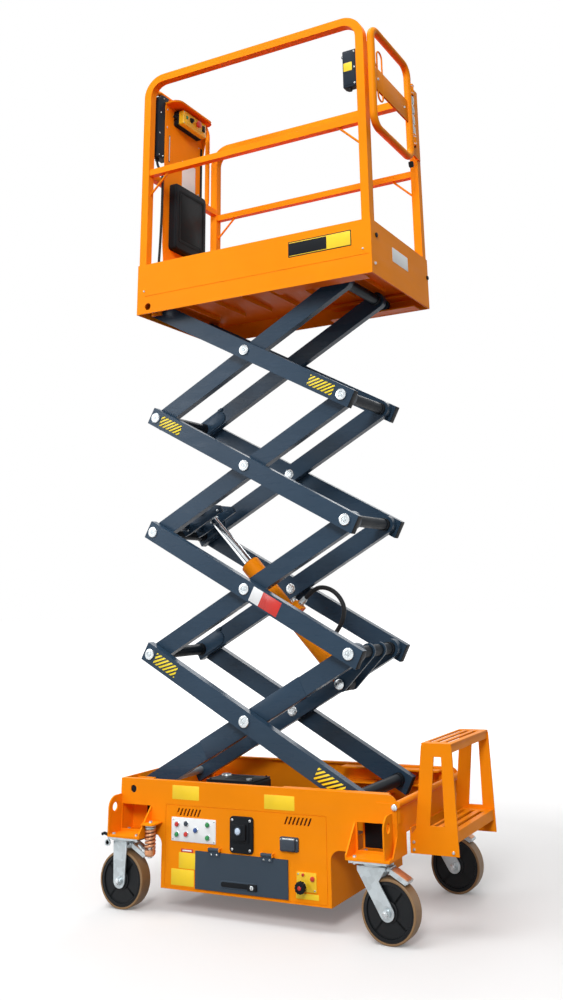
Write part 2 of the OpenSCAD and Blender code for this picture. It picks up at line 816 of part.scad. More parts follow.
module platform_deck() {
    low = -floor_rise - skirt_drop;
    rib_low = -floor_rise + 28;
    color(orange) on_floor() difference() {
        union() {
            block([deck_x0, -deck_y, -5], [deck_x1, deck_y, 0]);
            both_sides() {
                block([deck_x0, deck_y - sheet, low], [deck_x1, deck_y, -4]);
                roller_track(deck_y - sheet + 1, -floor_rise);
                // lug of the upper left pivot, hung from the floor
                block([-26, outer_face_y + head_t + 2, -floor_rise - 26],
                      [26, outer_face_y + head_t + 12, -4]);
                // stringers that carry the roller tracks
                block([track_x0, deck_y - 50, -floor_rise + roller_r], [track_x1, deck_y - 44, -4]);
            }
            for (x = [deck_x0, deck_x1 - sheet])
                block([x, 1 - deck_y, low], [x + sheet, deck_y - 1, -4]);
            for (i = [1 : 7]) {
                x = deck_x0 + i * deck_len / 8;
                block([x - 3, -inner_y + 8, rib_low], [x + 3, inner_y - 8, -4]);
            }
        }
        both_sides() {
            bar_y(pin_r + run_fit, outer_face_y, deck_y - 20, [0, -floor_rise]);
            bar_y(16, deck_y - 20, deck_y + 1, [0, -floor_rise]);
            // seam under the toe boards
            block([deck_x0 + 44, deck_y - 1.5, -3], [deck_x1 - 10, deck_y + 1, 1]);
        }
    }
}

toe_t = 4;
module toe_boards() {
    color(orange) on_floor() difference() {
        block([deck_x0, -deck_y, 0], [deck_x1, deck_y, toe_h]);
        block([deck_x0 + toe_t, toe_t - deck_y, -1], [deck_x1 - toe_t, deck_y - toe_t, toe_h + 1]);
    }
}

// one long guard rail: an arch of tube, a middle rail and two rods that
// cut its corners for harness clips
rail_y = deck_y - toe_t - rail_t;
rail_inset = 4;
module side_rail(top, mid) {
    x0 = deck_x0 + rail_inset;
    w = deck_len - 2 * rail_inset;
    mid_t = 30;
    rod_x = 100;
    rod_z = 95;
    color(orange) on_floor() {
        plate_xz(rail_y, rail_t) translate([x0, 0]) difference() {
            arch(w, top, bend_r);
            translate([rail_t, -1]) arch(w - 2 * rail_t, top - rail_t + 1, bend_r - rail_t);
        }
        block([x0 + 1, rail_y + 4, mid - mid_t], [x0 + w - 1, rail_y + rail_t - 4, mid]);
        for (s = [0, 1]) {
            foot_x = s == 0 ? x0 + rail_t - 3 : x0 + w - rail_t + 3;
            translate([foot_x, rail_y + rail_t / 2, mid - mid_t - rod_z])
                rotate([0, s == 0 ? atan2(rod_x, rod_z) : -atan2(rod_x, rod_z), 0])
                cylinder(r = 5, h = norm([rod_x, rod_z]) + 4);
        }
    }
}

// the near rail also has the bar that the gate closes against
module rail_near() {
    mirror([0, 1, 0]) side_rail(rail_h, mid_h);
    color(orange) on_floor()
        block([deck_x1 - rail_t, -rail_y - 1, 0], [deck_x1 - 12, 24 - rail_y, rail_h - 110]);
}
module rail_far() {
    side_rail(far_rail_h, far_mid_h);
    gate_hinge();
}

// plate on the far post that carries the gate's two hinge pins
module gate_hinge() {
    post_x = deck_x1 - rail_inset;
    pin_x = gate_x + gate_t / 2;
    lug = 8;
    color(orange) on_floor() {
        block([post_x - 1, hinge_y - 12, gate_z + 80], [gate_x - 2, rail_y + 20, gate_z + 440]);
        for (z = hinge_zs) {
            bar_z(hinge_pin_r, z - lug, z + strap_h + lug, [pin_x, hinge_y]);
            for (end = [z - lug, z + strap_h + face_gap])
                block([gate_x - 3, hinge_y - 12, end], [pin_x + 12, hinge_y + 12, end + lug - face_gap]);
        }
    }
}

// a closed loop of round tube in Y and Z, about the tube's centre line
module tube_loop(x, low, high, r, tube) {
    at = [for (y = [low[0] + r, high[0] - r], z = [low[1] + r, high[1] - r]) [y, z]];
    for (k = [0 : 3]) translate([x, at[k][0], at[k][1]]) rotate([90, 0, 90])
        rotate([0, 0, [180, 90, 270, 0][k]]) rotate_extrude(angle = 90) translate([r, 0]) circle(tube);
    for (y = [low[0], high[0]]) bar_z(tube, low[1] + r, high[1] - r, [x, y]);
    for (z = [low[1], high[1]]) translate([x, 0, z]) bar_y(tube, low[0] + r, high[0] - r);
}

// guard rail across the left end: a rounded loop and the rail under it
end_w = 2 * (deck_y - toe_t - rail_t);
loop_r = 12;
loop_bend = 60;
loop_x = deck_x0 + 4 + loop_r;
loop_top = rail_h - 22;
mid_rail_z = mid_h - 34;
module end_frame() {
    low = mid_rail_z + loop_r;
    color(orange) on_floor() {
        tube_loop(loop_x, [loop_r - end_w / 2, low], [end_w / 2 - loop_r - 40, loop_top - loop_r], loop_bend, loop_r);
        block([deck_x0 + 10, 1 - end_w / 2, mid_rail_z], [panel_x, end_w / 2 - 1, mid_rail_z + 30]);
    }
}

// gate across the right end, hung on the far post and outside it
gate_x = deck_x1 + 6;
hinge_y = gate_y0 + gate_w + 26;
hinge_zs = [gate_z + 110, gate_z + 370];
strap_h = 40;
module gate() {
    r = gate_t / 2;
    color(orange) on_floor() {
        tube_loop(gate_x + r, [gate_y0 + r, gate_z + r], [gate_y0 + gate_w - r, gate_z + gate_h - r], 55, r);
        block([gate_x + 12, gate_y0 + gate_t - 1, gate_z + 200], [gate_x + 18, gate_y0 + gate_w - gate_t + 1, gate_z + 310]);
        // hinge straps and their barrel
        for (z = hinge_zs) difference() {
            union() {
                block([gate_x + 10, gate_y0 + gate_w - 2, z], [gate_x + 24, hinge_y, z + strap_h]);
                bar_z(13, z, z + strap_h, [gate_x + gate_t / 2, hinge_y]);
            }
            bar_z(hinge_pin_r + run_fit, z - 1, z + strap_h + 1, [gate_x + gate_t / 2, hinge_y]);
        }
    }
}
hinge_pin_r = 6;

// orange control panel that stands on the floor, with its hood
panel_x = deck_x0 + 42;
panel_t = 4;
panel_y = [-190, 120];
hood_z = rail_h - 91;
module panel_hood() {
    reach = 80;
    hood_t = 10;
    r = reach / 2;
    y0 = panel_y[0];
    y1 = panel_y[1];
    color(orange) on_floor() {
        plate_yz(panel_x, panel_t)
            polygon([[y0 + 30, 0], [y1, 0], [y1, hood_z + 1], [y0, hood_z + 1], [y0, 300]]);
        translate([panel_x, y0, hood_z]) linear_extrude(hood_t) {
            square([reach - r, y1 - y0]);
            translate([0, r]) square([reach, y1 - y0 - 2 * r]);
            for (y = [r, y1 - y0 - r]) translate([reach - r, y]) circle(r);
        }
        // side cheek of the hood
        plate_xz(y1 - panel_t, panel_t)
            polygon([[panel_x, hood_z - 190], [panel_x + 16, hood_z - 150], [panel_x + 34, hood_z - 30],
                     [panel_x + 34, hood_z + 1], [panel_x, hood_z + 1]]);
    }
}

// two-part control box: a dark back and a yellow case
box_y = [-123, 78];
box_z = hood_z - 90;
box_back = 26;
box_depth = 58;
module control_box() {
    x = panel_x + panel_t;
    front = x + box_depth;
    on_floor() {
        color(dark) block([x, box_y[0], box_z], [x + box_back, box_y[1], box_z + 80]);
        color(yellow) block([x + box_back, box_y[0] + 3, box_z + 4], [front, box_y[1] - 3, box_z + 77]);
        color("red") bar_x(16, front - 1, front + 18, [box_y[0] + 118, box_z + 44]);
        color(dark) bar_x(11, front - 1, front + 14, [box_y[0] + 66, box_z + 44]);
    }
}

module document_box() {
    x = panel_x + panel_t;
    color(dark) on_floor() block([x, -146, mid_h - 350], [x + 44, 106, mid_h - 14]);
}

// dark box inside the loop, beside the panel
junction_z = mid_h + 97;
module junction_box() {
    gap = 2;
    r = loop_bend - loop_r - gap;
    y0 = 2 * loop_r + gap - end_w / 2;
    w = panel_y[0] + 30 - y0;
    h = loop_top - 2 * loop_r - gap - junction_z;
    color("#2b333c") on_floor() plate_yz(deck_x0 + 6, panel_x - deck_x0 - 6) translate([y0, junction_z])
        intersection() {
            square([w, h]);
            union() {
                square([w, h - r]);
                translate([r, 0]) square([w, h]);
                translate([r, h - r]) circle(r);
            }
        }
}

// box on the near post, between the middle rail and the corner bend
outlet_h = 178;
outlet_z = mid_h + (rail_h - bend_r - mid_h - outlet_h) * 5 / 7;
module outlet_box() {
    x1 = deck_x1 - rail_inset - rail_t;
    color("#39434f") on_floor()
        block([x1 - 66, 2 - rail_y - rail_t, outlet_z], [x1, 36 - rail_y - rail_t, outlet_z + outlet_h]);
}

// the cable leaves the junction box's underside and hangs to the floor
cable_r = 6;
cable_knots = [
    [0, 0, -0.3], [1, 0, -20], [7, 0, -40], [17, 1, -60], [27, 2, -80], [32, 3, -101], [33, 3, -126],
    [33, 4, -160], [33, 4, -220], [32, 4, -310], [30, 2, -420], [26, 0, -530], [22, -2, -630],
    [20, -2, 0.3 - junction_z]
];
module control_cable() {
    color(dark) on_floor() translate([deck_x0 + 20, -216, junction_z])
        swept_tube(smooth(cable_knots, 4), cable_r);
}

chassis_frame();
battery_tray();
control_plate();
isolator_switch();
power_inlet();
lowering_knob();
access_ladder();
battery_pack();
hydraulic_tank();
pump_unit();
pivot_shaft();
caster_plates();
rigid_fork(-1);  // rigid_fork_near
rigid_fork(1);  // rigid_fork_far
battery_door();
swivel_fork(-1);  // swivel_fork_near
swivel_fork(1);  // swivel_fork_far
tyre(left_wheel_x, -1);  // tyre_left_near
tyre(left_wheel_x, 1);  // tyre_left_far
tyre(right_wheel_x, -1);  // tyre_right_near
tyre(right_wheel_x, 1);  // tyre_right_far
core(left_wheel_x, -1);  // core_left_near
core(left_wheel_x, 1);  // core_left_far
core(right_wheel_x, -1);  // core_right_near
core(right_wheel_x, 1);  // core_right_far
inner_frame(1);  // inner_frame_1
inner_frame(2);  // inner_frame_2
inner_frame(3);  // inner_frame_3
inner_frame(4);  // inner_frame_4
outer_frame(1);  // outer_frame_1
outer_frame(2);  // outer_frame_2
outer_frame(3);  // outer_frame_3
outer_frame(4);  // outer_frame_4
cylinder_barrel();
cylinder_rod();
hydraulic_hose();
platform_deck();
toe_boards();
rail_near();
rail_far();
end_frame();
gate();
panel_hood();
control_box();
document_box();
junction_box();
outlet_box();
control_cable();
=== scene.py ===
import math

import bmesh
import bpy
from mathutils import Matrix, Vector


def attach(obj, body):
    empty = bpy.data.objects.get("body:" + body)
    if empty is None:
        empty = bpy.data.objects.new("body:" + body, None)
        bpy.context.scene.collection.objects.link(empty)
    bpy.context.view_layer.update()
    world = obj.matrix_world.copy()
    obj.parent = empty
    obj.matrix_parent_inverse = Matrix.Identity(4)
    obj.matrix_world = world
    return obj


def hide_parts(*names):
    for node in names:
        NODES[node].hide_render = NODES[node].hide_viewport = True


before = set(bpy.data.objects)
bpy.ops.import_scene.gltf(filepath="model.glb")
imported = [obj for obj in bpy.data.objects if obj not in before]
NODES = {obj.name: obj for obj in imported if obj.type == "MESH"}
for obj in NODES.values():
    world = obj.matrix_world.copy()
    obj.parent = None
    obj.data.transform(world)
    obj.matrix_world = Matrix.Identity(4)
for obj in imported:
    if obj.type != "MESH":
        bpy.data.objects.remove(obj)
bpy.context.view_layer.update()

MM = 0.001
PIVOT_X = -0.5925              # metres from the row's origin to the lower left shaft
LIFT = math.radians(28.3)      # angle of the arms at rest
ARM = 1042.0                   # between an arm's end pins
PIVOT_Z = 413.0                # height of the lower shaft
LEVELS = (1, 2, 3, 4)
RISE = ARM * math.sin(LIFT)
FLOOR_Z = PIVOT_Z + len(LEVELS) * RISE + 51

# ---- camera --------------------------------------------------------
CAMERA_AT = (2.050, -3.7087, 1.1066)
CAMERA_TURN = (-26.4057, 16.3853, -1.6225)    # yaw, pitch and roll in degrees
SENSOR, LENS = 36, 35.33
SHIFT = (-0.0564, -0.190)
CLIP = (0.05, 200)

scene = bpy.context.scene
scene.view_settings.view_transform = "Standard"
cam_data = bpy.data.cameras.new("camera")
cam = bpy.data.objects.new("camera", cam_data)
scene.collection.objects.link(cam)
scene.camera = cam
yaw, pitch, roll = (math.radians(turn) for turn in CAMERA_TURN)
forward = Vector((math.sin(yaw) * math.cos(pitch), math.cos(yaw) * math.cos(pitch), math.sin(pitch)))
level_x = Vector((math.cos(yaw), -math.sin(yaw), 0))
level_y = level_x.cross(forward)
cam_x = level_x * math.cos(roll) + level_y * math.sin(roll)
cam_y = level_y * math.cos(roll) - level_x * math.sin(roll)
facing = Matrix((cam_x, cam_y, -forward)).transposed().to_4x4()
cam.matrix_world = Matrix.Translation(CAMERA_AT) @ facing
cam_data.sensor_width = SENSOR
cam_data.lens = LENS
cam_data.shift_x, cam_data.shift_y = SHIFT
cam_data.clip_start, cam_data.clip_end = CLIP

# ---- places --------------------------------------------------------
# every place turns millimetres of its own frame into metres of the row frame
PIVOT = Matrix.Translation((PIVOT_X, 0, 0)) @ Matrix.Scale(MM, 4)
FLOOR = PIVOT @ Matrix.Translation((0, 0, FLOOR_Z))


def turned_to(at, x_axis, z_axis):
    """Matrix of a local frame at a point, from its X and Z axes."""
    z = Vector(z_axis).normalized()
    x = Vector(x_axis)
    x = (x - z * x.dot(z)).normalized()
    y = z.cross(x)
    m = Matrix((x, y, z)).transposed().to_4x4()
    m.translation = Vector(at)
    return m


def near(x, y, z):
    """Local frame of something on a face that looks to the near side."""
    return turned_to((x, y, z), (1, 0, 0), (0, -1, 0))


def far(x, y, z):
    """The same on a face that looks to the far side."""
    return turned_to((x, y, z), (-1, 0, 0), (0, 1, 0))


def right(x, y, z):
    """The same on a face that looks to the right."""
    return turned_to((x, y, z), (0, 1, 0), (1, 0, 0))


def left(x, y, z):
    """The same on a face that looks to the left."""
    return turned_to((x, y, z), (0, -1, 0), (-1, 0, 0))


def above(x, y, z):
    """The same on a face that looks up."""
    return Matrix.Translation((x, y, z))


def arm_place(kind, level):
    """Frame of one scissor frame: X along the arm from its left pin, Y across, Z square to it."""
    if kind == "inner":
        return PIVOT @ above(0, 0, PIVOT_Z + (level - 1) * RISE) @ Matrix.Rotation(-LIFT, 4, "Y")
    return PIVOT @ above(0, 0, PIVOT_Z + level * RISE) @ Matrix.Rotation(LIFT, 4, "Y")


# ---- shapes --------------------------------------------------------
def on_circle(r, k, n, centre=(0, 0)):
    """Point k of n round a circle."""
    a = 2 * math.pi * k / n
    return centre[0] + r * math.cos(a), centre[1] + r * math.sin(a)


def box(lo, hi, r=1.0, seg=2):
    """A block between two corners, with rounded edges."""
    bm = bmesh.new()
    lo, hi = Vector(lo), Vector(hi)
    size = hi - lo
    place = Matrix.Translation((lo + hi) / 2) @ Matrix.Diagonal((*size, 1))
    bmesh.ops.create_cube(bm, size=1, matrix=place)
    r = min(r, 0.45 * min(size))
    if r > 0:
        bmesh.ops.bevel(bm, geom=bm.edges[:], offset=r, segments=seg, affect="EDGES", profile=0.5)
    return bm


def lathe(profile, n=32):
    """A turned shape round local Z, from (radius, height) pairs."""
    bm = bmesh.new()
    rings = []
    for r, h in profile:
        if r < 1e-6:
            rings.append([bm.verts.new((0, 0, h))])
        else:
            rings.append([bm.verts.new((*on_circle(r, k, n), h)) for k in range(n)])
    for a, b in zip(rings, rings[1:]):
        for k in range(n):
            j = (k + 1) % n
            if len(a) == 1 and len(b) == 1:
                continue
            if len(a) == 1:
                bm.faces.new((a[0], b[j], b[k]))
            elif len(b) == 1:
                bm.faces.new((a[k], a[j], b[0]))
            else:
                bm.faces.new((a[k], a[j], b[j], b[k]))
    for ring, flip in ((rings[0], True), (rings[-1], False)):
        if len(ring) > 1:
            bm.faces.new(list(reversed(ring)) if flip else ring)
    bmesh.ops.recalc_face_normals(bm, faces=bm.faces[:])
    return bm


def slab(outline, t, r=0.6, seg=2):
    """A flat outline raised by t along local Z, with its upper edge rounded."""
    bm = bmesh.new()
    low = [bm.verts.new((x, y, 0)) for x, y in outline]
    high = [bm.verts.new((x, y, t)) for x, y in outline]
    n = len(outline)
    bm.faces.new(list(reversed(low)))
    top = bm.faces.new(high)
    for k in range(n):
        bm.faces.new((low[k], low[(k + 1) % n], high[(k + 1) % n], high[k]))
    bmesh.ops.recalc_face_normals(bm, faces=bm.faces[:])
    if r > 0:
        bmesh.ops.bevel(bm, geom=list(top.edges), offset=min(r, 0.45 * t), segments=seg,
                        affect="EDGES", profile=0.5)
    return bm


def rounded(w, h, r, n=6):
    """Outline of a rounded rectangle about the origin."""
    r = max(0.01, min(r, 0.499 * min(w, h)))
    cx, cy = w / 2 - r, h / 2 - r
    out = []
    for x, y, start in ((cx, cy, 0), (-cx, cy, 90), (-cx, -cy, 180), (cx, -cy, 270)):
        for k in range(n + 1):
            a = math.radians(start + 90 * k / n)
            out.append((x + r * math.cos(a), y + r * math.sin(a)))
    return out


def pipe(points, r, n=12):
    """A round bar along points, closed at both ends."""
    pts = [Vector(p) for p in points]
    bm = bmesh.new()
    rings = []
    side = None
    for i, p in enumerate(pts):
        t = (pts[min(i + 1, len(pts) - 1)] - pts[max(i - 1, 0)]).normalized()
        if side is None:
            side = t.cross(Vector((0, 0, 1) if abs(t.z) < 0.9 else (0, 1, 0))).normalized()
        side = (side - t * side.dot(t)).normalized()
        up = t.cross(side)
        ring = [on_circle(1, k, n) for k in range(n)]
        rings.append([bm.verts.new(p + r * (c * side + s * up)) for c, s in ring])
    for a, b in zip(rings, rings[1:]):
        for k in range(n):
            bm.faces.new((a[k], a[(k + 1) % n], b[(k + 1) % n], b[k]))
    bm.faces.new(list(reversed(rings[0])))
    bm.faces.new(rings[-1])
    bmesh.ops.recalc_face_normals(bm, faces=bm.faces[:])
    return bm


def smooth_line(knots, steps=4):
    """Points on a smooth curve through the knots."""
    k = [Vector(p) for p in knots]
    last = len(k) - 1
    out = []
    for i in range(last):
        a, b, c, d = k[max(i - 1, 0)], k[i], k[i + 1], k[min(i + 2, last)]
        square, cube = 2 * a - 5 * b + 4 * c - d, 3 * b - a - 3 * c + d
        for step in range(steps):
            t = step / steps
            out.append(0.5 * (2 * b + (c - a) * t + square * t * t + cube * t ** 3))
    out.append(k[-1])
    return out


def spring(r, wire, length, turns, n=10):
    """A coil round local Z."""
    steps = int(turns * 16)
    route = []
    for i in range(steps + 1):
        a = 2 * math.pi * turns * i / steps
        route.append((r * math.cos(a), r * math.sin(a), length * i / steps))
    return pipe(route, wire, n)


def hexagon(af, h, r=0.6):
    """A hexagonal head, af across its flats."""
    return slab([on_circle(af / math.sqrt(3), k, 6) for k in range(6)], h, r)


SHARP = math.radians(32)       # edges sharper than this stay hard


class Build:
    """A piece made of several shapes, in the millimetres of one place."""

    def __init__(self, name, body, mats, place=PIVOT, slot=None, replaces=()):
        self.name, self.body, self.mats, self.place = name, body, mats, place
        self.slot, self.replaced = slot, replaces
        self.bm = bmesh.new()

    def add(self, shape, at=None, m=0):
        """Join a shape, at a local frame and with material m."""
        for f in shape.faces:
            f.material_index = m
        shape.transform(self.place @ at if at is not None else self.place)
        tmp = bpy.data.meshes.new("tmp")
        shape.to_mesh(tmp)
        shape.free()
        self.bm.from_mesh(tmp)
        bpy.data.meshes.remove(tmp)

    def bolt(self, at, size=10, m=0):
        """Hexagonal head on a washer, along local Z."""
        wide, narrow = size * 1.05, size * 0.95
        self.add(lathe([(0, 0), (wide, 0), (wide, 1.2), (narrow, 1.8), (0, 1.8)], 24), at, m)
        self.add(hexagon(size * 1.7, size * 0.62 + 1.8), at, m)

    def screw(self, at, r, m, dark):
        """Domed screw head with a cross recess."""
        dome = [(r, 0), (r, r * 0.25), (r * 0.8, r * 0.55), (r * 0.4, r * 0.7), (0, r * 0.72)]
        self.add(lathe(dome, 20), at, m)
        for a, b in ((r * 0.6, r * 0.14), (r * 0.14, r * 0.6)):
            self.add(box((-a, -b, r * 0.5), (a, b, r * 0.76), 0), at, dark)

    def done(self):
        """Make the object, attach it to its body and hide the parts it stands for."""
        me = bpy.data.meshes.new(self.name)
        self.bm.normal_update()
        self.bm.to_mesh(me)
        self.bm.free()
        for p in me.polygons:
            p.use_smooth = True
        me.set_sharp_from_angle(angle=SHARP)
        for mat in self.mats:
            me.materials.append(mat)
        ob = bpy.data.objects.new(self.name, me)
        scene.collection.objects.link(ob)
        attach(ob, self.body)
        if self.replaced:
            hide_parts(*self.replaced)
        return ob


# ---- materials -----------------------------------------------------
def lin(hex_colour):
    """Linear colour of an sRGB hex string."""
    out = []
    for i in (0, 2, 4):
        c = int(hex_colour[i:i + 2], 16) / 255
        out.append(c / 12.92 if c <= 0.04045 else ((c + 0.055) / 1.055) ** 2.4)
    return (*out, 1)


def around(colour, vary):
    """A darker and a lighter neighbour of a colour."""
    dark = tuple(c * (1 - vary) for c in colour[:3]) + (1,)
    light = tuple(min(1, c * (1 + vary)) for c in colour[:3]) + (1,)
    return dark, light


class Shade:
    """The node tree of one material."""

    def __init__(self, name):
        self.mat = bpy.data.materials.new(name)
        self.mat.use_nodes = True
        self.nt = self.mat.node_tree
        self.nt.nodes.clear()
        self.out = self.node("ShaderNodeOutputMaterial")

    def node(self, kind, inputs=None, **props):
        """A node with its properties set and its inputs linked or given."""
        n = self.nt.nodes.new(kind)
        for key, value in props.items():
            setattr(n, key, value)
        for key, value in (inputs or {}).items():
            if isinstance(value, bpy.types.NodeSocket):
                self.nt.links.new(value, n.inputs[key])
            else:
                n.inputs[key].default_value = value
        return n

    def coords(self, scale=(1, 1, 1)):
        where = self.node("ShaderNodeTexCoord").outputs["Object"]
        return self.node("ShaderNodeMapping", {"Vector": where, "Scale": scale}).outputs[0]

    def axis_z(self, output):
        """Z of one output of the texture coordinates."""
        vec = self.node("ShaderNodeTexCoord").outputs[output]
        return self.node("ShaderNodeSeparateXYZ", {0: vec}).outputs[2]

    def noise(self, vec, scale, detail=3, rough=0.5):
        inputs = {"Vector": vec, "Scale": scale, "Detail": detail, "Roughness": rough}
        return self.node("ShaderNodeTexNoise", inputs).outputs[0]

    def ramp(self, fac, a, b, lo=0.3, hi=0.7):
        n = self.node("ShaderNodeValToRGB", {"Fac": fac})
        n.color_ramp.elements[0].position, n.color_ramp.elements[0].color = lo, a
        n.color_ramp.elements[1].position, n.color_ramp.elements[1].color = hi, b
        return n.outputs[0]

    def mix(self, fac, a, b):
        return self.node("ShaderNodeMix", {0: fac, 6: a, 7: b}, data_type="RGBA").outputs[2]

    def math(self, op, a, b=0.0):
        return self.node("ShaderNodeMath", {0: a, 1: b}, operation=op).outputs[0]

    def remap(self, fac, lo, hi, to_lo, to_hi):
        inputs = {"Value": fac, "From Min": lo, "From Max": hi, "To Min": to_lo, "To Max": to_hi}
        return self.node("ShaderNodeMapRange", inputs).outputs[0]

    def finish(self, colour, rough, height, bump, depth, edge=0.0, **fixed):
        """The surface: colour, roughness, fine relief, rounded edges and fixed numbers."""
        relief = {"Height": height, "Strength": bump, "Distance": depth}
        if edge:
            relief["Normal"] = self.node("ShaderNodeBevel", {"Radius": edge}, samples=4).outputs[0]
        normal = self.node("ShaderNodeBump", relief).outputs[0]
        inputs = {"Base Color": colour, "Roughness": rough, **fixed, "Normal": normal}
        bsdf = self.node("ShaderNodeBsdfPrincipled", inputs)
        self.nt.links.new(bsdf.outputs[0], self.out.inputs[0])
        return self.mat


def painted(name, colour, rough, vary=0.08, peel=0.05, edge=0.0012, dust=0.0, under=None, **fixed):
    """Sprayed steel: slow tone changes, fine orange peel, and painted shade: another tone on faces that
    look down.
    """
    s = Shade(name)
    vec = s.coords()
    slow = s.noise(vec, 2.3, 4, 0.55)
    fine = s.noise(vec, 620, 2, 0.6)
    smear = s.noise(s.coords((1, 1, 6)), 5, 5, 0.6)
    col = s.ramp(slow, *around(colour, vary), 0.3, 0.7)
    if dust:
        grey = tuple(0.5 * c + 0.5 * 0.35 for c in colour[:3]) + (1,)
        col = s.mix(s.remap(smear, 0.5, 0.8, 0, dust), col, grey)
    # painted shade: faces that look down blend into the under colour
    if under:
        down = s.math("MULTIPLY", s.axis_z("Normal"), -1.0)
        col = s.mix(s.remap(down, 0.3, 0.8, 0, 1), col, under)
    return s.finish(col, s.remap(smear, 0.3, 0.7, *rough), fine, peel, 0.0004, edge, **fixed)


def metal(name, colour, rough=(0.28, 0.5), vary=0.1, metallic=0.85, scale=60, edge=0.001):
    """Plated steel with a faint crystalline mottle."""
    s = Shade(name)
    vec = s.coords()
    inputs = {"Vector": vec, "Scale": scale, "Randomness": 1.0}
    cells = s.node("ShaderNodeTexVoronoi", inputs).outputs["Color"]
    grey = s.node("ShaderNodeSeparateColor", {"Color": cells}).outputs[0]
    cloud = s.noise(vec, 14, 4, 0.6)
    mixed = s.math("MULTIPLY", s.math("ADD", grey, cloud), 0.5)
    col = s.ramp(mixed, *around(colour, vary), 0.3, 0.75)
    grain = s.noise(vec, 900, 2)
    return s.finish(col, s.remap(mixed, 0.25, 0.75, *rough), grain, 0.06, 0.0002, edge, Metallic=metallic)


def plastic(name, colour, rough=(0.4, 0.55), grain=700, bump=0.18, vary=0.08, edge=0.0006, **fixed):
    """Moulded plastic with a fine sparked grain."""
    s = Shade(name)
    vec = s.coords()
    slow = s.noise(vec, 9, 3)
    col = s.ramp(slow, *around(colour, vary))
    spark = s.noise(vec, grain, 2, 0.7)
    return s.finish(col, s.remap(slow, 0.3, 0.7, *rough), spark, bump, 0.0002, edge, **fixed)


def striped(name, a, b, pitch, direction):
    """Slanting warning stripes of two colours."""
    s = Shade(name)
    vec = s.coords()
    across = {0: vec, 1: tuple(d / pitch for d in direction)}
    dot = s.node("ShaderNodeVectorMath", across, operation="DOT_PRODUCT").outputs["Value"]
    saw = s.math("FRACT", s.math("ADD", dot, 50))
    fac = s.math("GREATER_THAN", saw, 0.5)
    worn = s.noise(vec, 220, 4, 0.7)
    col = s.mix(fac, a, b)
    col = s.mix(s.remap(worn, 0.55, 0.85, 0, 0.25), col, (0.25, 0.25, 0.22, 1))
    return s.finish(col, 0.4, worn, 0.04, 0.0002)


# its under colour is a painted shade, a redder and darker orange on faces that look down
ORANGE = painted("orange_paint", lin("f98f10"), rough=(0.34, 0.48), dust=0.02,
                 under=lin("f96a0a"), IOR=1.13)
SLATE = painted("slate_paint", lin("2c4053"), rough=(0.22, 0.36), vary=0.12, dust=0.03, IOR=1.26)
DOOR = painted("door_paint", lin("35424f"), rough=(0.38, 0.5), vary=0.06, peel=0.12, IOR=1.3)
ZINC = metal("zinc_plate", lin("b9c2c6"), metallic=0.75)
STEEL = metal("bright_steel", lin("c9cfd2"), rough=(0.2, 0.35), scale=140)
CHROME = metal("rod_chrome", lin("dfe3e6"), rough=(0.08, 0.16), vary=0.04, metallic=1.0, scale=20, edge=0)
COPPER = metal("passivated_zinc", lin("c9906a"), rough=(0.3, 0.45), metallic=0.7)
BLACK = plastic("black_plastic", lin("191c20"), IOR=1.18)
RUBBER = plastic("rubber", lin("1b1c1e"), rough=(0.5, 0.65), grain=400, bump=0.3, IOR=1.3)
GREY = plastic("grey_plastic", lin("353e49"), IOR=1.35)
WHITE = plastic("white_panel", lin("e9ecee"), rough=(0.3, 0.4), vary=0.03)
YELLOW = plastic("yellow_vinyl", lin("f6cf1c"), rough=(0.3, 0.42), vary=0.05, bump=0.05)
YELLOW_CASE = plastic("yellow_case", lin("f2c21a"), rough=(0.35, 0.45), vary=0.06)
RED = plastic("red_plastic", lin("c8281e"), rough=(0.25, 0.35))
GREEN = plastic("green_plastic", lin("1f8a4a"), rough=(0.25, 0.35))
BLUE = plastic("blue_plastic", lin("2b4f8f"), rough=(0.25, 0.35))
TREAD = plastic("tyre_tread", lin("8a6b48"), rough=(0.45, 0.6), grain=300, bump=0.25, vary=0.14)
CORE = plastic("wheel_core", lin("14171a"), rough=(0.34, 0.48), grain=500, IOR=1.3)
LAMP = plastic("lamp_lens", lin("c9dcf2"), rough=(0.12, 0.2), vary=0.04)
SLEEVE = plastic("tube_sleeve", lin("151d25"), rough=(0.34, 0.46), grain=500, bump=0.08, IOR=1.15)
DARK_BOX = plastic("dark_box", lin("222b36"), rough=(0.32, 0.45), IOR=1.18)
CASE_FACE = plastic("case_face", lin("131619"), rough=(0.36, 0.48), grain=500, bump=0.1, IOR=1.15)
TREAD_PLATE = painted("tread_plate", lin("f98c12"), rough=(0.4, 0.55), dust=0.12, IOR=1.2)
HAZARD = striped("hazard_stripes", lin("f6dc1e"), lin("14140f"), 0.0136, (0.242, 0.0, -0.970))

NODE_MATERIAL = {
    ORANGE: ["chassis_frame", "battery_tray", "access_ladder", "cylinder_barrel", "platform_deck",
             "toe_boards", "rail_near", "rail_far", "end_frame", "gate", "panel_hood"],
    SLATE: [f"{kind}_frame_{level}" for kind in ("inner", "outer") for level in LEVELS],
    DOOR: ["battery_door"],
    ZINC: ["caster_plates", "pivot_shaft", "rigid_fork_near", "rigid_fork_far",
           "swivel_fork_near", "swivel_fork_far"],
    CHROME: ["cylinder_rod"],
    WHITE: ["control_plate"],
    BLACK: ["isolator_switch", "battery_pack", "hydraulic_tank", "document_box", "control_box",
            "control_cable", "hydraulic_hose"],
    GREY: ["power_inlet", "outlet_box", "junction_box", "pump_unit"],
    YELLOW_CASE: ["lowering_knob"],
    TREAD: [f"tyre_{s}_{n}" for s in ("left", "right") for n in ("near", "far")],
    CORE: [f"core_{s}_{n}" for s in ("left", "right") for n in ("near", "far")],
}
for material, names in NODE_MATERIAL.items():
    for name in names:
        ob = NODES[name]
        ob.data.materials.clear()
        ob.data.materials.append(material)

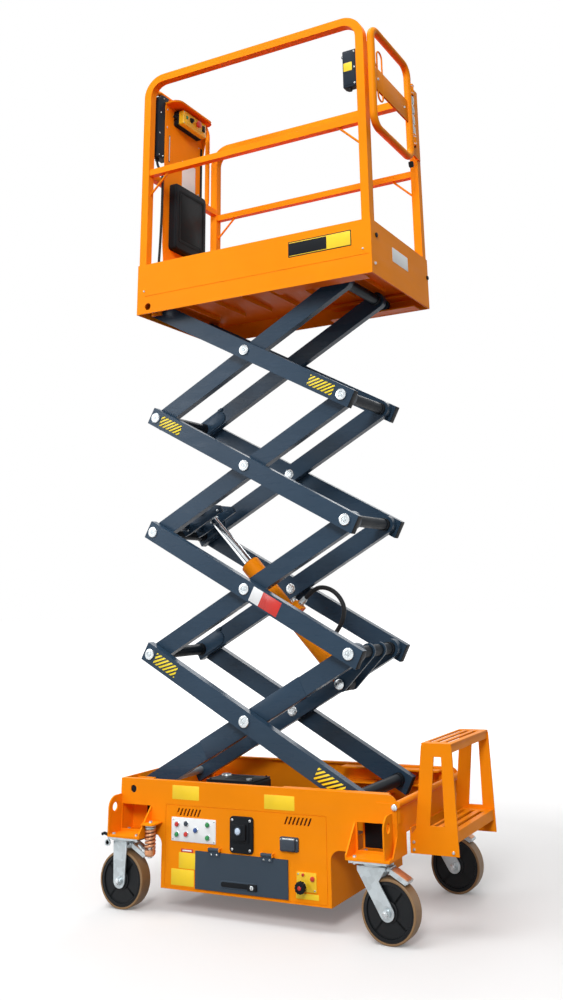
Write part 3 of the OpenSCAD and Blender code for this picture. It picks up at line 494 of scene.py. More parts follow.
# ---- values that follow the CAD ------------------------------------
SIDE = 309.0          # outer face of the chassis side sheets
DECK_SIDE = 308.0     # outer face of the platform's long sides
ARM_FACE = 226.0      # outer face of the outer arms
INNER_FACE = 152.0    # inner face of the inner arms
ARM_W = 34.0          # width of an arm's tube
TUBE_R = 22.7         # radius of a cross tube's sleeve
COLLAR_R = 25.5       # radius of the collar at the sleeve's end
FOOT_AT = (875, -48)  # the cylinder's foot, along and square to the first inner arm
HEAD_AT = (155, 21)   # its head on the third inner arm
FRAME_X1 = 1125.0     # right end of the chassis
DECK_X0, DECK_X1 = -60.0, 1113.0
PANEL_X = DECK_X0 + 46
GATE_X = DECK_X1 + 6
TRACK_Y = 318.0       # middle of the wheels
WHEEL_Z = 100.0
WHEEL_X = {"left": -20.0, "right": 1096.0}
SWIVEL_X = 1042.0     # the swivels' turning axis
PLATE_Z = 247.0       # under side of the caster plates
SIDES = (("near", -1), ("far", 1))
ENDS = ("left", "right")


def arm_point(u, v, level):
    """Point of an inner arm at rest: u along it and v square to it."""
    return Vector((u * math.cos(LIFT) - v * math.sin(LIFT), 0,
                   PIVOT_Z + level * RISE + u * math.sin(LIFT) + v * math.cos(LIFT)))


FOOT, HEAD = arm_point(*FOOT_AT, 0), arm_point(*HEAD_AT, 2)
CYL_DIR = (HEAD - FOOT).normalized()
CYL_LEN = (HEAD - FOOT).length
CYLINDER = PIVOT @ turned_to(FOOT, CYL_DIR, (CYL_DIR.z, 0, -CYL_DIR.x))


def outward(side, x, y, z):
    """Local frame on a face at distance y that looks away from the middle plane."""
    return near(x, -y, z) if side < 0 else far(x, y, z)


def inward(side, x, y, z):
    """Local frame on a face at distance y that looks to the middle plane."""
    return far(x, -y, z) if side < 0 else near(x, y, z)


# ---- hose and cable ------------------------------------------------
def cord_piece(name, body, knots, place, r, node, **facts):
    """A rubber cord through its knots."""
    route = [place @ p for p in smooth_line(knots)]
    b = Build(name, body, [RUBBER], Matrix.Identity(4), replaces=(node,))
    b.add(pipe(route, r * MM, 16))
    ob = b.done()


PORT_X, PORT_Z, RETURN_X, BARREL_R = 360.0, 60.0, 165.0, 34.0
HOSE_R, CABLE_R = 9, 6
HOSE = [(PORT_X, 0, PORT_Z + 0.3), (PORT_X, 0, PORT_Z + 40), (350, 0, 160), (312, 0, 196),
        (261, 0, 208), (210, 0, 194), (178, 0, 150), (RETURN_X, 0, 84), (RETURN_X, 0, BARREL_R + 8.3)]
cord_piece("hydraulic_hose_visual", "barrel", HOSE, CYLINDER, HOSE_R, "hydraulic_hose",
           stiffness="stiff", lay="loose")

JUNCTION_Z = 722.0                   # under side of the dark box in the end frame
CABLE_AT = (DECK_X0 + 20, -216)      # where the cable leaves that box
CABLE = [(0, 0, -0.3), (1, 0, -20), (7, 0, -40), (17, 1, -60), (27, 2, -80), (32, 3, -101),
         (33, 3, -126), (33, 4, -160), (33, 4, -220), (32, 4, -310), (30, 2, -420), (26, 0, -530),
         (22, -2, -630), (20, -2, 0.3 - JUNCTION_Z)]
cord_piece("control_cable_visual", "platform", CABLE, FLOOR @ above(*CABLE_AT, JUNCTION_Z), CABLE_R,
           "control_cable", stiffness="medium", lay="hanging")

# ---- controls on the chassis ---------------------------------------
BUTTONS = [(212, 302, RED), (212, 267, GREEN), (254, 306, GREY), (254, 270, RED), (297, 286, BLUE),
           (351, 308, GREEN), (351, 264, GREEN)]
BEZEL = [(11.4, 0), (11.4, 1.6), (10.2, 2.6), (8.6, 2.8), (8.6, 1.6), (0, 1.6)]
BUTTON = [(8, 0), (8, 6.2), (7.2, 7.6), (5, 8.2), (0, 8.4)]
b = Build("control_panel", "chassis", [WHITE, STEEL, RED, GREEN, BLUE, GREY, BLACK], slot="plate",
          replaces=("control_plate",))
b.add(slab(rounded(200, 82, 3), 2, 0.8), near(286, -SIDE, 285))
for x, z, mat in BUTTONS:
    b.add(lathe(BEZEL, 28), near(x, -SIDE - 2, z), 1)
    b.add(lathe(BUTTON, 28), near(x, -SIDE - 2, z), b.mats.index(mat))
for x in (193, 379):
    for z in (251, 319):
        b.screw(near(x, -SIDE - 2, z), 3, 1, 6)
b.done()

b = Build("isolator_housing", "chassis", [BLACK, WHITE, LAMP, GREY], slot="dark",
          replaces=("isolator_switch",))
b.add(slab(rounded(100, 122, 13, 8), 8, 2.6, 3), near(501, -SIDE, 285))
b.add(slab(rounded(74, 70, 7, 6), 4, 1.6), near(499, -SIDE - 8, 294))
b.add(slab(rounded(58, 54, 6, 6), 15, 2.4, 3), near(498, -SIDE - 8, 296))
b.add(lathe([(15, 0), (15, 3), (12.5, 4.2), (12.5, 2.6), (0, 2.6)], 28), near(497, -SIDE - 23, 300), 3)
b.add(lathe([(11.5, 0), (11.5, 3.4), (9.5, 5.6), (5, 6.8), (0, 7.1)], 28), near(497, -SIDE - 23, 300), 2)
for x in (463, 539):
    for z in (236, 334):
        b.screw(near(x, -SIDE - 8, z), 4.6, 1, 3)
b.done()

b = Build("power_inlet_cover", "chassis", [GREY, ZINC, BLACK], slot="grey",
          replaces=("power_inlet",))
b.add(slab(rounded(76, 47, 6, 5), 6, 1.6), near(701, -SIDE, 268.5))
b.add(slab(rounded(56, 36, 8, 6), 9, 2.6, 3), near(701, -SIDE - 6, 266.5))
b.add(pipe([(-24, 17.5, 9), (24, 17.5, 9)], 3, 12), near(701, -SIDE, 268.5), 1)
for x in (668, 734):
    b.screw(near(x, -SIDE - 6, 283), 3.2, 1, 2)
b.done()

b = Build("lowering_handle", "chassis", [YELLOW_CASE, BLACK, RED, ZINC, YELLOW], slot="yellow",
          replaces=("lowering_knob",))
b.add(slab(rounded(80, 62, 4, 4), 3, 1), near(769, -SIDE, 153))
b.add(slab(rounded(91, 18, 2, 3), 0.8, 0.3), near(770.5, -SIDE, 108), 4)
b.add(lathe([(12, 0), (12, 8), (9, 10), (9, 16), (0, 16)], 24), near(756, -SIDE - 3, 140), 3)
knob = [on_circle(20.5 if k % 4 < 2 else 18.8, k, 48) for k in range(48)]
b.add(slab(knob, 15, 3, 3), near(756, -SIDE - 18, 140), 1)
b.add(lathe([(7, 0), (6, 1.6), (0, 2)], 20), near(756, -SIDE - 33, 140), 2)
b.add(lathe([(8, 0), (8, 5), (5, 7), (0, 7.4)], 20), near(794, -SIDE - 3, 166), 2)
b.add(lathe([(5, 0), (5, 4), (3, 5), (0, 5.2)], 16), near(756, -SIDE - 3, 176), 2)
for x in (736, 802):
    b.screw(near(x, -SIDE - 3, 129 if x > 770 else 178), 3.2, 3, 1)
b.done()

b = Build("chassis_stickers", "chassis", [YELLOW, RED, WHITE], slot="yellow")
# blank stickers: left edge, right edge, lower and upper edge
STICKERS = ((186, 309, 387, 436), (596, 723, 377, 425), (221, 296, 153, 207), (187, 290, 95, 150))
for x0, x1, z0, z1 in STICKERS:
    middle = near((x0 + x1) / 2, -SIDE, (z0 + z1) / 2)
    b.add(slab(rounded(x1 - x0, z1 - z0, 2.5, 3), 0.5, 0.2), middle)
b.add(slab(rounded(56, 12, 1.5, 3), 0.5, 0.2), near(258, -SIDE, 214), 1)
b.add(slab(rounded(42, 5, 1, 3), 0.8, 0.2), near(258, -SIDE, 214), 2)
b.done()

# ---- battery door --------------------------------------------------
b = Build("door_hardware", "battery_door", [DOOR, BLACK, STEEL], slot="door")
face = -SIDE - 5
b.add(slab(rounded(160, 26, 11, 6), 1.6, 0.8), near(489, face, 118))
b.add(slab(rounded(150, 17, 8, 6), 2.2, 0.4), near(489, face, 118), 1)
b.add(slab(rounded(40, 22, 4, 4), 5, 1.2), near(548, face, 117), 1)
b.add(lathe([(7.5, 0), (7.5, 2), (6, 2.8), (0, 2.8)], 24), near(548, face - 5, 117), 2)
b.add(box((-1, -4.5, 2.4), (1, 4.5, 3.2), 0), near(548, face - 5, 117), 1)
for x in (360, 587):
    for dx in (11, 35):
        b.screw(near(x + dx, face - 3, 212), 3.6, 2, 1)
b.done()

# ---- casters -------------------------------------------------------
b = Build("caster_bolts", "chassis", [ZINC, STEEL], slot="zinc")
for side in (-1, 1):
    for x0 in (-58, 972):
        for dx in (16, 124):
            for dy in (-46, 46):
                if x0 > 0 and dx > 100 and dy > 0:
                    continue
                y = side * (TRACK_Y + 4 + dy)
                b.bolt(above(x0 + dx, y, 262), 6.5)
                under = above(x0 + dx, y, PLATE_Z) @ Matrix.Rotation(math.pi, 4, "X")
                b.add(hexagon(12, 6), under, 1)
b.done()

for name, side in SIDES:
    for end in ENDS:
        body = f"swivel_{name}" if end == "right" else "chassis"
        b = Build(f"axle_nuts_{end}_{name}", body, [STEEL, ZINC], slot="zinc")
        for s in (-1, 1):
            at = outward(s, WHEEL_X[end], 0, WHEEL_Z)
            at.translation.y = side * TRACK_Y + s * 46
            b.add(lathe([(14, 0), (14, 1.4), (0, 1.4)], 28), at, 1)
            b.add(hexagon(19, 9, 1), at)
            b.add(lathe([(6, 8), (6, 12), (5, 13), (0, 13)], 20), at)
        # cap of the kingpin and the rim of its bearing
        x = SWIVEL_X if end == "right" else WHEEL_X["left"]
        rim = [(44, 234), (46, 236), (46, 241), (42, 243), (38.4, 243)]
        b.add(lathe(rim, 40), above(x, side * TRACK_Y, 0), 1)
        b.done()
        b = Build(f"brake_shoe_{end}_{name}", body, [COPPER, ZINC, BLACK], slot="zinc")
        x0 = x + (58 if end == "right" else 40)
        pedal = above(x0, side * TRACK_Y, PLATE_Z - 20) @ Matrix.Rotation(math.radians(28), 4, "Y")
        b.add(slab(rounded(64, 42, 6, 5), 2.2, 0.8), pedal @ above(42, 0, 5))
        b.add(box((8, -24, -11), (74, -21.4, -4.5), 1), pedal, 1)
        b.add(box((8, 21.4, -11), (74, 24, -4.5), 1), pedal, 1)
        b.add(pipe([(0, -28, -1), (0, 28, -1)], 5, 14), pedal, 1)
        b.done()

for name, side in SIDES:
    for end in ENDS:
        b = Build(f"wheel_trim_{end}_{name}", f"wheel_{end}_{name}", [CORE, STEEL, TREAD], slot="dark")
        for s in (-1, 1):
            at = outward(s, WHEEL_X[end], 0, WHEEL_Z)
            at.translation.y = side * TRACK_Y + s * 25
            rim = [(86.5, -4), (86.5, 0.8), (84.5, 1.6), (80.5, 1.6), (78.6, -3), (78.6, -5)]
            b.add(lathe(rim, 64), at)
            b.add(lathe([(33, -6), (33, 0.6), (30, 2.4), (24, 2.8), (20, 2), (20, -2)], 40), at)
            for k in range(4):
                a = math.radians(5 + 90 * k)
                b.add(lathe([(5.5, -19), (5.5, -16.6), (4, -15.2), (0, -15)], 16),
                      at @ above(56 * math.cos(a), 56 * math.sin(a), 0))
        b.done()

# spring post beside each left caster, under a small shelf on the side sheet
for name, side in SIDES:
    b = Build(f"spring_post_{name}", "chassis", [COPPER, ZINC, ORANGE, STEEL, BLACK], slot="zinc")
    x, y = 112.0, side * 343.0
    y0, y1 = sorted((side * SIDE, side * 374))
    b.add(box((88, y0, 300), (142, y1, 306), 1), None, 2)
    b.bolt(above(x, y, 306), 7, 1)
    b.add(lathe([(7, 196), (7, 300)], 16), above(x, y, 0), 3)
    for z in (293, 286):
        b.add(lathe([(20, 0), (21, 1), (21, 4), (20, 5), (0, 5)], 32), above(x, y, z), 1)
    b.add(spring(16.5, 5.2, 66, 5.2, 12), above(x, y, 218))
    b.add(lathe([(15, 192), (20, 198), (21, 210), (20, 214), (8, 214)], 32), above(x, y, 0), 0)
    b.add(hexagon(17, 8), above(x, y, 186), 1)
    b.add(pipe([(60, y, 226), (84, y, 208), (104, y, 204)], 6.5, 14), None, 3)
    lever = [(-58, 352, 252), (-74, 362, 256), (-88, 368, 262), (-98, 370, 258)]
    b.add(pipe([(x, side * y, z) for x, y, z in lever], 5.5, 14), None, 4)
    b.add(lathe([(12, -3), (12, 3), (8, 3), (8, -3)], 28), outward(side, -66, 374, 232), 1)
    b.done()

# ---- chassis ironmongery -------------------------------------------
b = Build("chassis_fasteners_and_hole_shade", "chassis", [ZINC, BLACK, STEEL], slot="zinc")
for name, side in SIDES:
    b.add(lathe([(11, 0), (11, 3), (8.5, 5.6), (4, 6.6), (0, 6.8)], 28), outward(side, 1118, 312, 412), 2)
    # black disc sunk in each side sheet's pin hole: a painted shade for the dark inside of the hole
    b.add(lathe([(13.4, 0), (13.4, 1.2), (7, 1.4), (0, 1.4)], 28), outward(side, 0, 304, PIVOT_Z), 1)
    for dx, z in ((14, 262), (14, 286), (160, 262)):
        b.bolt(outward(side, FRAME_X1 + dx, 203, z), 5)
    for x in (-30, 14):
        b.bolt(left(-60, side * (250 + x * 0.4), 300), 5)
b.done()

# black sheets on the inner walls of the caster pockets and just inside the near side sheet: painted shade
# where those hollows look dark
b = Build("pocket_shade_sheets", "chassis", [BLACK], slot="dark")
for name, side in SIDES:
    for x0, x1 in ((16, 80), (968, 1092)):
        b.add(slab(rounded(x1 - x0, 92, 3, 3), 1.2, 0.4), outward(side, (x0 + x1) / 2, 238, 310))
for x in (262, 736):
    b.add(slab(rounded(132, 40, 3, 3), 1.2, 0.4), near(x, -301, 344))
b.done()

b = Build("battery_cells", "chassis", [BLACK, GREY, RED, STEEL], slot="dark",
          replaces=("battery_pack",))
for i in range(2):
    for j in range(2):
        x0, y0 = 180 + 242 * i, -269 + 272 * j
        b.add(box((x0, y0, 86), (x0 + 238, y0 + 266, 226), 5, 3))
        b.add(box((x0 + 3, y0 + 3, 222), (x0 + 235, y0 + 263, 240), 4, 3), None, 1)
        for k in range(6):
            b.add(lathe([(13, 0), (13, 4), (10, 5.5), (0, 5.5)], 20),
                  above(x0 + 70 + 24 * k, y0 + 133, 240))
        for dx, m in ((28, 2), (210, 3)):
            b.add(lathe([(8, 0), (7, 9), (0, 9)], 18), above(x0 + dx, y0 + 40, 240), m)
b.done()

b = Build("tank_fittings", "chassis", [BLACK, STEEL, ZINC], slot="dark",
          replaces=("hydraulic_tank",))
b.add(box((220, -140, 256), (446, 0, 428), 10, 4))
b.add(box((224, -136, 426), (442, -4, 432), 2))
b.add(lathe([(20, 0), (20, 3), (18, 7), (0, 7.6)], 32), above(258, -40, 432), 1)
b.add(lathe([(11, 0), (11, 5), (0, 6)], 24), above(404, -104, 432), 2)
for x in (236, 430):
    for y in (-124, -16):
        b.bolt(above(x, y, 432), 4)
for y in (-96, -66, -36):
    b.add(box((288, y - 3, 428), (384, y + 3, 433.5), 1.2))
b.done()

b = Build("pump_motor", "chassis", [GREY, STEEL, BLACK], slot="grey", replaces=("pump_unit",))
b.add(box((690, -249, 86), (830, 249, 206), 8, 3))
turned = [(0, 0), (40, 0), (44, 6)]
for k in range(9):
    turned += [(46, 12 + 22 * k), (46, 24 + 22 * k), (43, 26 + 22 * k), (43, 32 + 22 * k)]
turned += [(46, 214), (44, 234), (20, 240), (0, 240)]
b.add(lathe(turned, 36), turned_to((746, -180, 250), (1, 0, 0), (0, 1, 0)), 1)
b.add(box((716, -170, 204), (776, 50, 212), 2), None, 2)
b.done()

# ---- scissor -------------------------------------------------------
def pin_cap(b, at, r):
    """Domed cap over a pin's head, with a recess in its middle."""
    b.add(lathe([(r - 1, -5.6), (r, -5), (r, 0.6), (r - 1.2, 2), (r * 0.62, 3.4), (r * 0.5, 3.4),
                 (r * 0.45, 1.4), (0, 1.4)], 40), at, 0)
    b.add(lathe([(r * 0.34, 1.3), (r * 0.34, 2.6), (r * 0.26, 3.4), (0, 3.5)], 24), at, 1)


def tube_y(side, face):
    """Lower Y of an arm's tube on one side, from the distance of its inner face."""
    return face if side > 0 else -face - ARM_W


def end_plug(b, u, side, face):
    """Cap in the open end of an arm's tube, at u along the arm."""
    end = left if u < 0 else right
    b.add(slab(rounded(33, 73, 3, 4), 1.6, 0.6), end(u, tube_y(side, face) + ARM_W / 2, 0), 2)


def patch(b, u0, u1, m, h=45):
    """Thin patch on the near face of the outer arm."""
    b.add(slab(rounded(u1 - u0, h, 1.5, 3), 0.4, 0.15), near((u0 + u1) / 2, -ARM_FACE, 0), m)


def cross_tube(b, u, reach, collar, past):
    """Sleeve of a cross tube with a collar at each end, past the sleeve's own end."""
    b.add(pipe([(u, -reach, 0), (u, reach, 0)], TUBE_R, 36), None, 4)
    for s in (-1, 1):
        b.add(pipe([(u, s * (reach - collar), 0), (u, s * (reach + past), 0)], COLLAR_R, 36), None, 2)


BOSS = [(22, 0), (22, 2.4), (20, 4), (12, 4.6), (10, 3), (0, 3)]
PIN_END = [(20, 0), (20, 4), (17, 5.6), (0, 6)]
for level in LEVELS:
    b = Build(f"inner_fittings_{level}", f"inner_{level}", [STEEL, ZINC, BLACK, SLATE, SLEEVE],
              arm_place("inner", level), "slate")
    for name, side in SIDES:
        pin_cap(b, outward(side, ARM / 2, 232, 0), 22.4)
        if level < 4:
            pin_cap(b, outward(side, ARM, 232, 0), 22.8)
        else:
            b.add(lathe([(15, 0), (14, 2.4), (6, 3), (0, 3)], 30), outward(side, ARM, 259, 0))
        b.add(lathe(BOSS, 36), inward(side, ARM / 2, INNER_FACE, 0))
        end_plug(b, -30, side, INNER_FACE)
        if level > 1:
            b.add(slab(rounded(158, 64, 31, 8), 5, 1.2), inward(side, 48, INNER_FACE, 0), 3)
            b.add(slab(rounded(26, 14, 5, 4), 7, 1), inward(side, 118, INNER_FACE, 30), 3)
            b.add(lathe([(19, 5), (19, 8), (16, 9.4), (0, 9.6)], 32), inward(side, 0, INNER_FACE, 0))
    cross_tube(b, ARM, 150, 22, 1.5)
    if level == 1:
        for y in (tube_y(1, INNER_FACE), tube_y(-1, INNER_FACE)):
            b.add(box((ARM / 2 - 244, y - 1.6, -39), (ARM / 2 + 268, y + ARM_W + 1.6, 39), 1), None, 3)
        for name, side in SIDES:
            b.add(lathe(PIN_END, 32), outward(side, FOOT_AT[0], 64, FOOT_AT[1]))
    if level == 3:
        for name, side in SIDES:
            b.add(lathe(PIN_END, 32), outward(side, HEAD_AT[0], 64, HEAD_AT[1]))
            for u, v in ((60, -18), (232, -24), (120, 30)):
                b.bolt(outward(side, u, 56, v), 5)
    b.done()

    b = Build(f"outer_fittings_{level}", f"outer_{level}",
              [STEEL, ZINC, BLACK, SLATE, SLEEVE, HAZARD, WHITE, RED], arm_place("outer", level), "slate")
    for name, side in SIDES:
        if level < 4:
            pin_cap(b, outward(side, 0, 231, 0), 21.6)
        end_plug(b, -30 if level < 4 else -24, side, ARM_FACE - ARM_W)
        end_plug(b, ARM + 48, side, ARM_FACE - ARM_W)
    cross_tube(b, 0, 144 if level < 4 else 188, 18, 2)
    if level == 1:
        cross_tube(b, ARM, 190, 22, 1)
    if level in (1, 3):
        patch(b, 30, 150, 5)
    if level in (1, 4):
        patch(b, ARM - 168, ARM - 42, 5)
    if level == 2:
        patch(b, ARM / 2 + 36, ARM / 2 + 86, 6, 60)
        patch(b, ARM / 2 + 86, ARM / 2 + 180, 7, 60)
    b.done()

# ---- lift cylinder -------------------------------------------------
b = Build("cylinder_fittings", "barrel", [STEEL, ZINC, BLACK, ORANGE], CYLINDER, "zinc")
# black block and ring over the foot eye
b.add(box((14, -26, -29.4), (46, 26, 29.4), 3), None, 2)
b.add(lathe([(16, -26), (27, -26), (29, -24), (29, 24), (27, 26), (16, 26), (16, -26)], 40),
      near(0, 0, 0), 2)
along = turned_to((0, 0, 0), (0, 1, 0), (1, 0, 0))
b.add(lathe([(18.4, 650), (18.4, 655), (30, 655), (36, 653), (36, 650)], 40), along, 2)
b.add(lathe([(41.5, 566), (41.5, 571), (39.5, 574), (33, 574), (33, 566)], 44), along, 3)
b.add(lathe([(34.6, 34), (37, 38), (37, 44), (34.6, 48), (33, 48), (33, 34)], 44), along, 3)
for x, z in ((PORT_X, PORT_Z), (RETURN_X, BARREL_R + 8)):
    b.add(hexagon(24, 11, 1), above(x, 0, z))
    b.add(lathe([(11.4, 10), (12, 12), (12, 30), (11, 34), (9.4, 35), (9.4, 10)], 28), above(x, 0, z), 1)
b.add(hexagon(17, 14, 1), right(PORT_X + 22, 0, 48))
b.add(lathe([(5, 14), (5, 22), (4, 23), (0, 23)], 18), right(PORT_X + 22, 0, 48))
b.add(lathe([(9, 0), (9, 12), (7, 14), (0, 14)], 20), near(PORT_X, -20, 44), 1)
b.done()

b = Build("rod_eye_trim", "rod", [ZINC, STEEL], CYLINDER, "chrome")
for s in (-1, 1):
    b.add(lathe([(26.4, 0), (26.4, 1), (24, 1.6), (19, 1.6), (17, 0.4), (17, 0)], 40),
          outward(s, CYL_LEN, 22, 0))
b.add(lathe([(18.3, CYL_LEN - 52), (22, CYL_LEN - 50), (22, CYL_LEN - 24), (18.3, CYL_LEN - 22)], 36),
      along, 1)
b.done()

# ---- platform ------------------------------------------------------
b = Build("deck_plates", "platform", [BLACK, YELLOW, GREY, ZINC, WHITE], FLOOR, "dark")
b.add(slab(rounded(296, 69, 3, 3), 0.6, 0.2), near(876, -DECK_SIDE, 81.5))
b.add(slab(rounded(288, 61, 2, 3), 0.9, 0.2), near(876, -DECK_SIDE, 81.5), 1)
b.add(slab(rounded(180, 55, 2, 3), 1.2, 0.2), near(820, -DECK_SIDE, 81.5), 0)
b.add(slab(rounded(166, 63, 3, 3), 0.8, 0.2), right(DECK_X1, -13, 57.5), 4)
for y, z in ((-258, 91), (297, 62)):
    b.add(lathe([(10, 0), (10, 4), (8, 6), (0, 6.6)], 24), right(DECK_X1, y, z), 0)
b.bolt(right(DECK_X1, -279, -37), 6, 3)
for x in (-30, 1083):
    for side in (-1, 1):
        b.bolt(outward(side, x + 8 * (1 if x < 0 else -1), DECK_SIDE, 24), 4, 3)
b.done()

b = Build("deck_tread", "platform", [TREAD_PLATE], FLOOR, "orange")
lozenge = [(-11, 0), (-5, 2.6), (5, 2.6), (11, 0), (5, -2.6), (-5, -2.6)]
for i in range(38):
    for j in range(20):
        x, y = DECK_X0 + 40 + 28.5 * i, -270 + 28.4 * j
        if x < 45 and -215 < y < 135:
            continue
        turn = Matrix.Rotation(math.radians(45 if (i + j) % 2 else -45), 4, "Z")
        b.add(slab(lozenge, 1.1, 0), above(x, y, 0) @ turn)
b.done()

b = Build("panel_details", "platform", [ORANGE, BLACK, WHITE, ZINC, GREY], FLOOR, "orange")
x = PANEL_X
b.add(slab(rounded(9, 142, 4, 5), 1.2, 0.4), right(x, -156, 793), 4)
b.add(slab(rounded(5, 132, 2.4, 5), 1.6, 0.2), right(x, -156, 793), 2)
b.add(slab(rounded(112, 146, 3, 4), 0.8, 0.3), right(x, 8, 700), 2)
b.add(box((x, 104, 560), (x + 5, 119, 900), 1.5), None, 1)
b.add(box((x - 8, 101, 540), (x + 9, 122, 566), 2), None, 1)
for y in (-176, 92):
    for z in (640, 900, 996):
        b.screw(right(x, y, z), 4, 3, 1)
b.done()

b = Build("control_station", "platform", [BLACK, YELLOW_CASE, RED, ZINC, GREY, GREEN], FLOOR, "yellow",
          ("control_box",))
x, y0, y1, z0 = PANEL_X, -123.0, 78.0, 930.0
ym, zm = (y0 + y1) / 2, z0 + 40
b.add(slab(rounded(y1 - y0, 80, 8, 6), 27, 3, 3), right(x, ym, zm))
b.add(slab(rounded(y1 - y0 - 5, 75, 9, 6), 28, 5, 3), right(x + 28, ym, zm), 1)
b.add(slab(rounded(y1 - y0 - 30, 52, 6, 5), 1.6, 0.6), right(x + 56, ym, zm), 1)
x1, z1 = x + 56.6, z0 + 44
mushroom = [(12, 0), (12, 7), (18, 9), (19, 13), (16, 16.5), (9, 18.4), (0, 19)]
b.add(lathe(mushroom, 32), right(x1, y0 + 118, z1), 2)
b.add(lathe([(14, 0), (14, 3), (11, 4), (10, 12), (8, 14), (0, 14.4)], 28), right(x1, y0 + 66, z1))
b.add(lathe([(8, 0), (8, 4), (6, 6), (0, 6.4)], 24), right(x1, y0 + 28, z1), 5)
b.add(slab(rounded(22, 34, 4, 4), 5, 1.4), right(x1, y0 + 170, z0 + 42))
for y in (y0 + 9, y1 - 9):
    for z in (z0 + 10, z0 + 70):
        b.screw(right(x + 55.8, y, z), 3, 3, 0)
b.add(lathe([(9, 0), (9, 8), (6, 12), (6, 20), (0, 20)], 20), near(x + 14, y0, zm), 0)
b.done()

b = Build("document_case", "platform", [BLACK, CASE_FACE], FLOOR, "dark", ("document_box",))
ym, zm = -20.0, 443.0
b.add(slab(rounded(252, 336, 16, 6), 36, 4, 3), right(PANEL_X, ym, zm))
b.add(slab(rounded(244, 328, 18, 6), 8, 5, 4), right(PANEL_X + 34, ym, zm))
frame_out, frame_in = rounded(206, 268, 10, 5), rounded(186, 244, 6, 5)
for k in range(len(frame_out)):
    j = (k + 1) % len(frame_out)
    quad = [frame_out[k], frame_out[j], frame_in[j], frame_in[k]]
    if (Vector(quad[0]) - Vector(quad[1])).length > 0.5:
        b.add(slab(quad, 2.6, 0), right(PANEL_X + 41.4, ym, zm + 4), 1)
b.add(slab(rounded(174, 232, 6, 5), 1.2, 0.4), right(PANEL_X + 41.4, ym, zm + 4), 1)
b.add(box((PANEL_X + 40, ym + 70, zm - 148), (PANEL_X + 44, ym + 78, zm - 112), 1), None, 1)
for y in (-60, 60):
    b.add(pipe([(PANEL_X + 6, ym + y - 14, zm + 169), (PANEL_X + 6, ym + y + 14, zm + 169)], 4, 12))
b.done()

b = Build("junction_cover", "platform", [DARK_BOX, STEEL, BLACK], FLOOR, "grey", ("junction_box",))
x0, x1, y0, y1, z0, z1 = DECK_X0 + 6, DECK_X0 + 42, -240.0, -162.0, JUNCTION_Z, 1061.0
bend = 46
arc = [on_circle(bend, k, 40, (y0 + bend, z1 - bend)) for k in range(20, 9, -1)]
b.add(slab(arc + [(y1, z1), (y1, z0), (y0, z0)], x1 - x0, 2.5, 3), right(x0, 0, 0))
for y, z in ((y0 + 12, z0 + 14), (y1 - 40, z0 + 14), (y0 + 16, 960), (y1 - 40, 1044), (y0 + 12, 850)):
    b.screw(right(x1, y, z), 3.4, 1, 2)
b.add(lathe([(10, -12), (10, 0), (0, 0)], 20), above(*CABLE_AT, z0), 2)
b.done()

b = Build("outlet_cover", "platform", [DARK_BOX, STEEL, YELLOW, BLACK], FLOOR, "grey", ("outlet_box",))
x1 = DECK_X1 - 4 - 38
x0, zm, y = x1 - 66, 859.0, -302.0
b.add(slab(rounded(66, 178, 5, 5), 32, 3, 3), near((x0 + x1) / 2, -268, zm))
b.add(slab(rounded(52, 160, 4, 5), 34, 3, 3), near((x0 + x1) / 2, -268, zm))
b.add(slab(rounded(20, 16, 6, 5), 5, 1), near(x0 - 6, -272, zm + 78))
b.add(lathe([(4.5, 5), (4.5, 6.6), (0, 7)], 16), near(x0 - 9, -272, zm + 78), 1)
for z in (zm + 76, zm, zm - 76):
    b.screw(near(x1 - 9, -301.6, z), 4.2, 1, 3)
b.add(slab(rounded(40, 40, 2, 3), 0.6, 0.2), near(x0 + 26, -301.8, zm + 8), 2)
b.add(lathe([(11, 0), (11, 9), (8, 13), (0, 13)], 24), above(x0 + 26, -286, zm - 100), 3)
b.done()

# ---- gate ----------------------------------------------------------
b = Build("gate_details", "gate", [ORANGE, ZINC, BLACK, LAMP], FLOOR, "orange")
gx, gy0, gz0 = GATE_X + 17, -300.0, 558.0
HINGE_Y = 162.0
# thin bar bent to a long loop
loop = [(gx, *on_circle(26, k, 24, (-200, 933 if k < 12 else 747))) for k in range(24)]
b.add(pipe(loop + [loop[0]], 4, 10))
b.add(box((gx - 5, -286, 800), (gx + 1, -222, 812), 1))
b.add(box((gx - 5, -286, 874), (gx + 1, -222, 886), 1))
b.add(box((gx - 3, gy0 + 33, gz0 + 200), (gx + 3, gy0 + 404, gz0 + 306), 1.4))
for y in (gy0 + 70, gy0 + 360):
    b.bolt(right(gx + 3, y, gz0 + 255), 5, 1)
b.add(lathe([(11, 0), (12, 6), (12, 20), (9, 26), (0, 26)], 24),
      turned_to((gx, 112, gz0 + 4), (0, 1, 0), (0, 0.3, -1)), 2)
knuckle = [(13.6, 0), (13.6, 3), (12.6, 4), (12.6, 36), (13.6, 37), (13.6, 40), (6.2, 40), (6.2, 0)]
for z in (gz0 + 110, gz0 + 370):
    b.add(lathe(knuckle, 30), above(gx, HINGE_Y, z), 1)
b.done()

b = Build("gate_springs", "platform", [ZINC, BLACK, ORANGE], FLOOR, "orange")
for z in (gz0 + 162, gz0 + 214, gz0 + 266, gz0 + 318):
    b.add(spring(9.5, 2.2, 34, 6, 8), above(gx, HINGE_Y, z))
b.add(pipe([(gx, HINGE_Y, gz0 + 150), (gx, HINGE_Y, gz0 + 362)], 6, 16))
for z in (gz0 + 102, gz0 + 362):
    b.add(lathe([(9, -1), (9, 0), (0, 3)], 20), above(gx, HINGE_Y, z - 4), 1)
b.done()
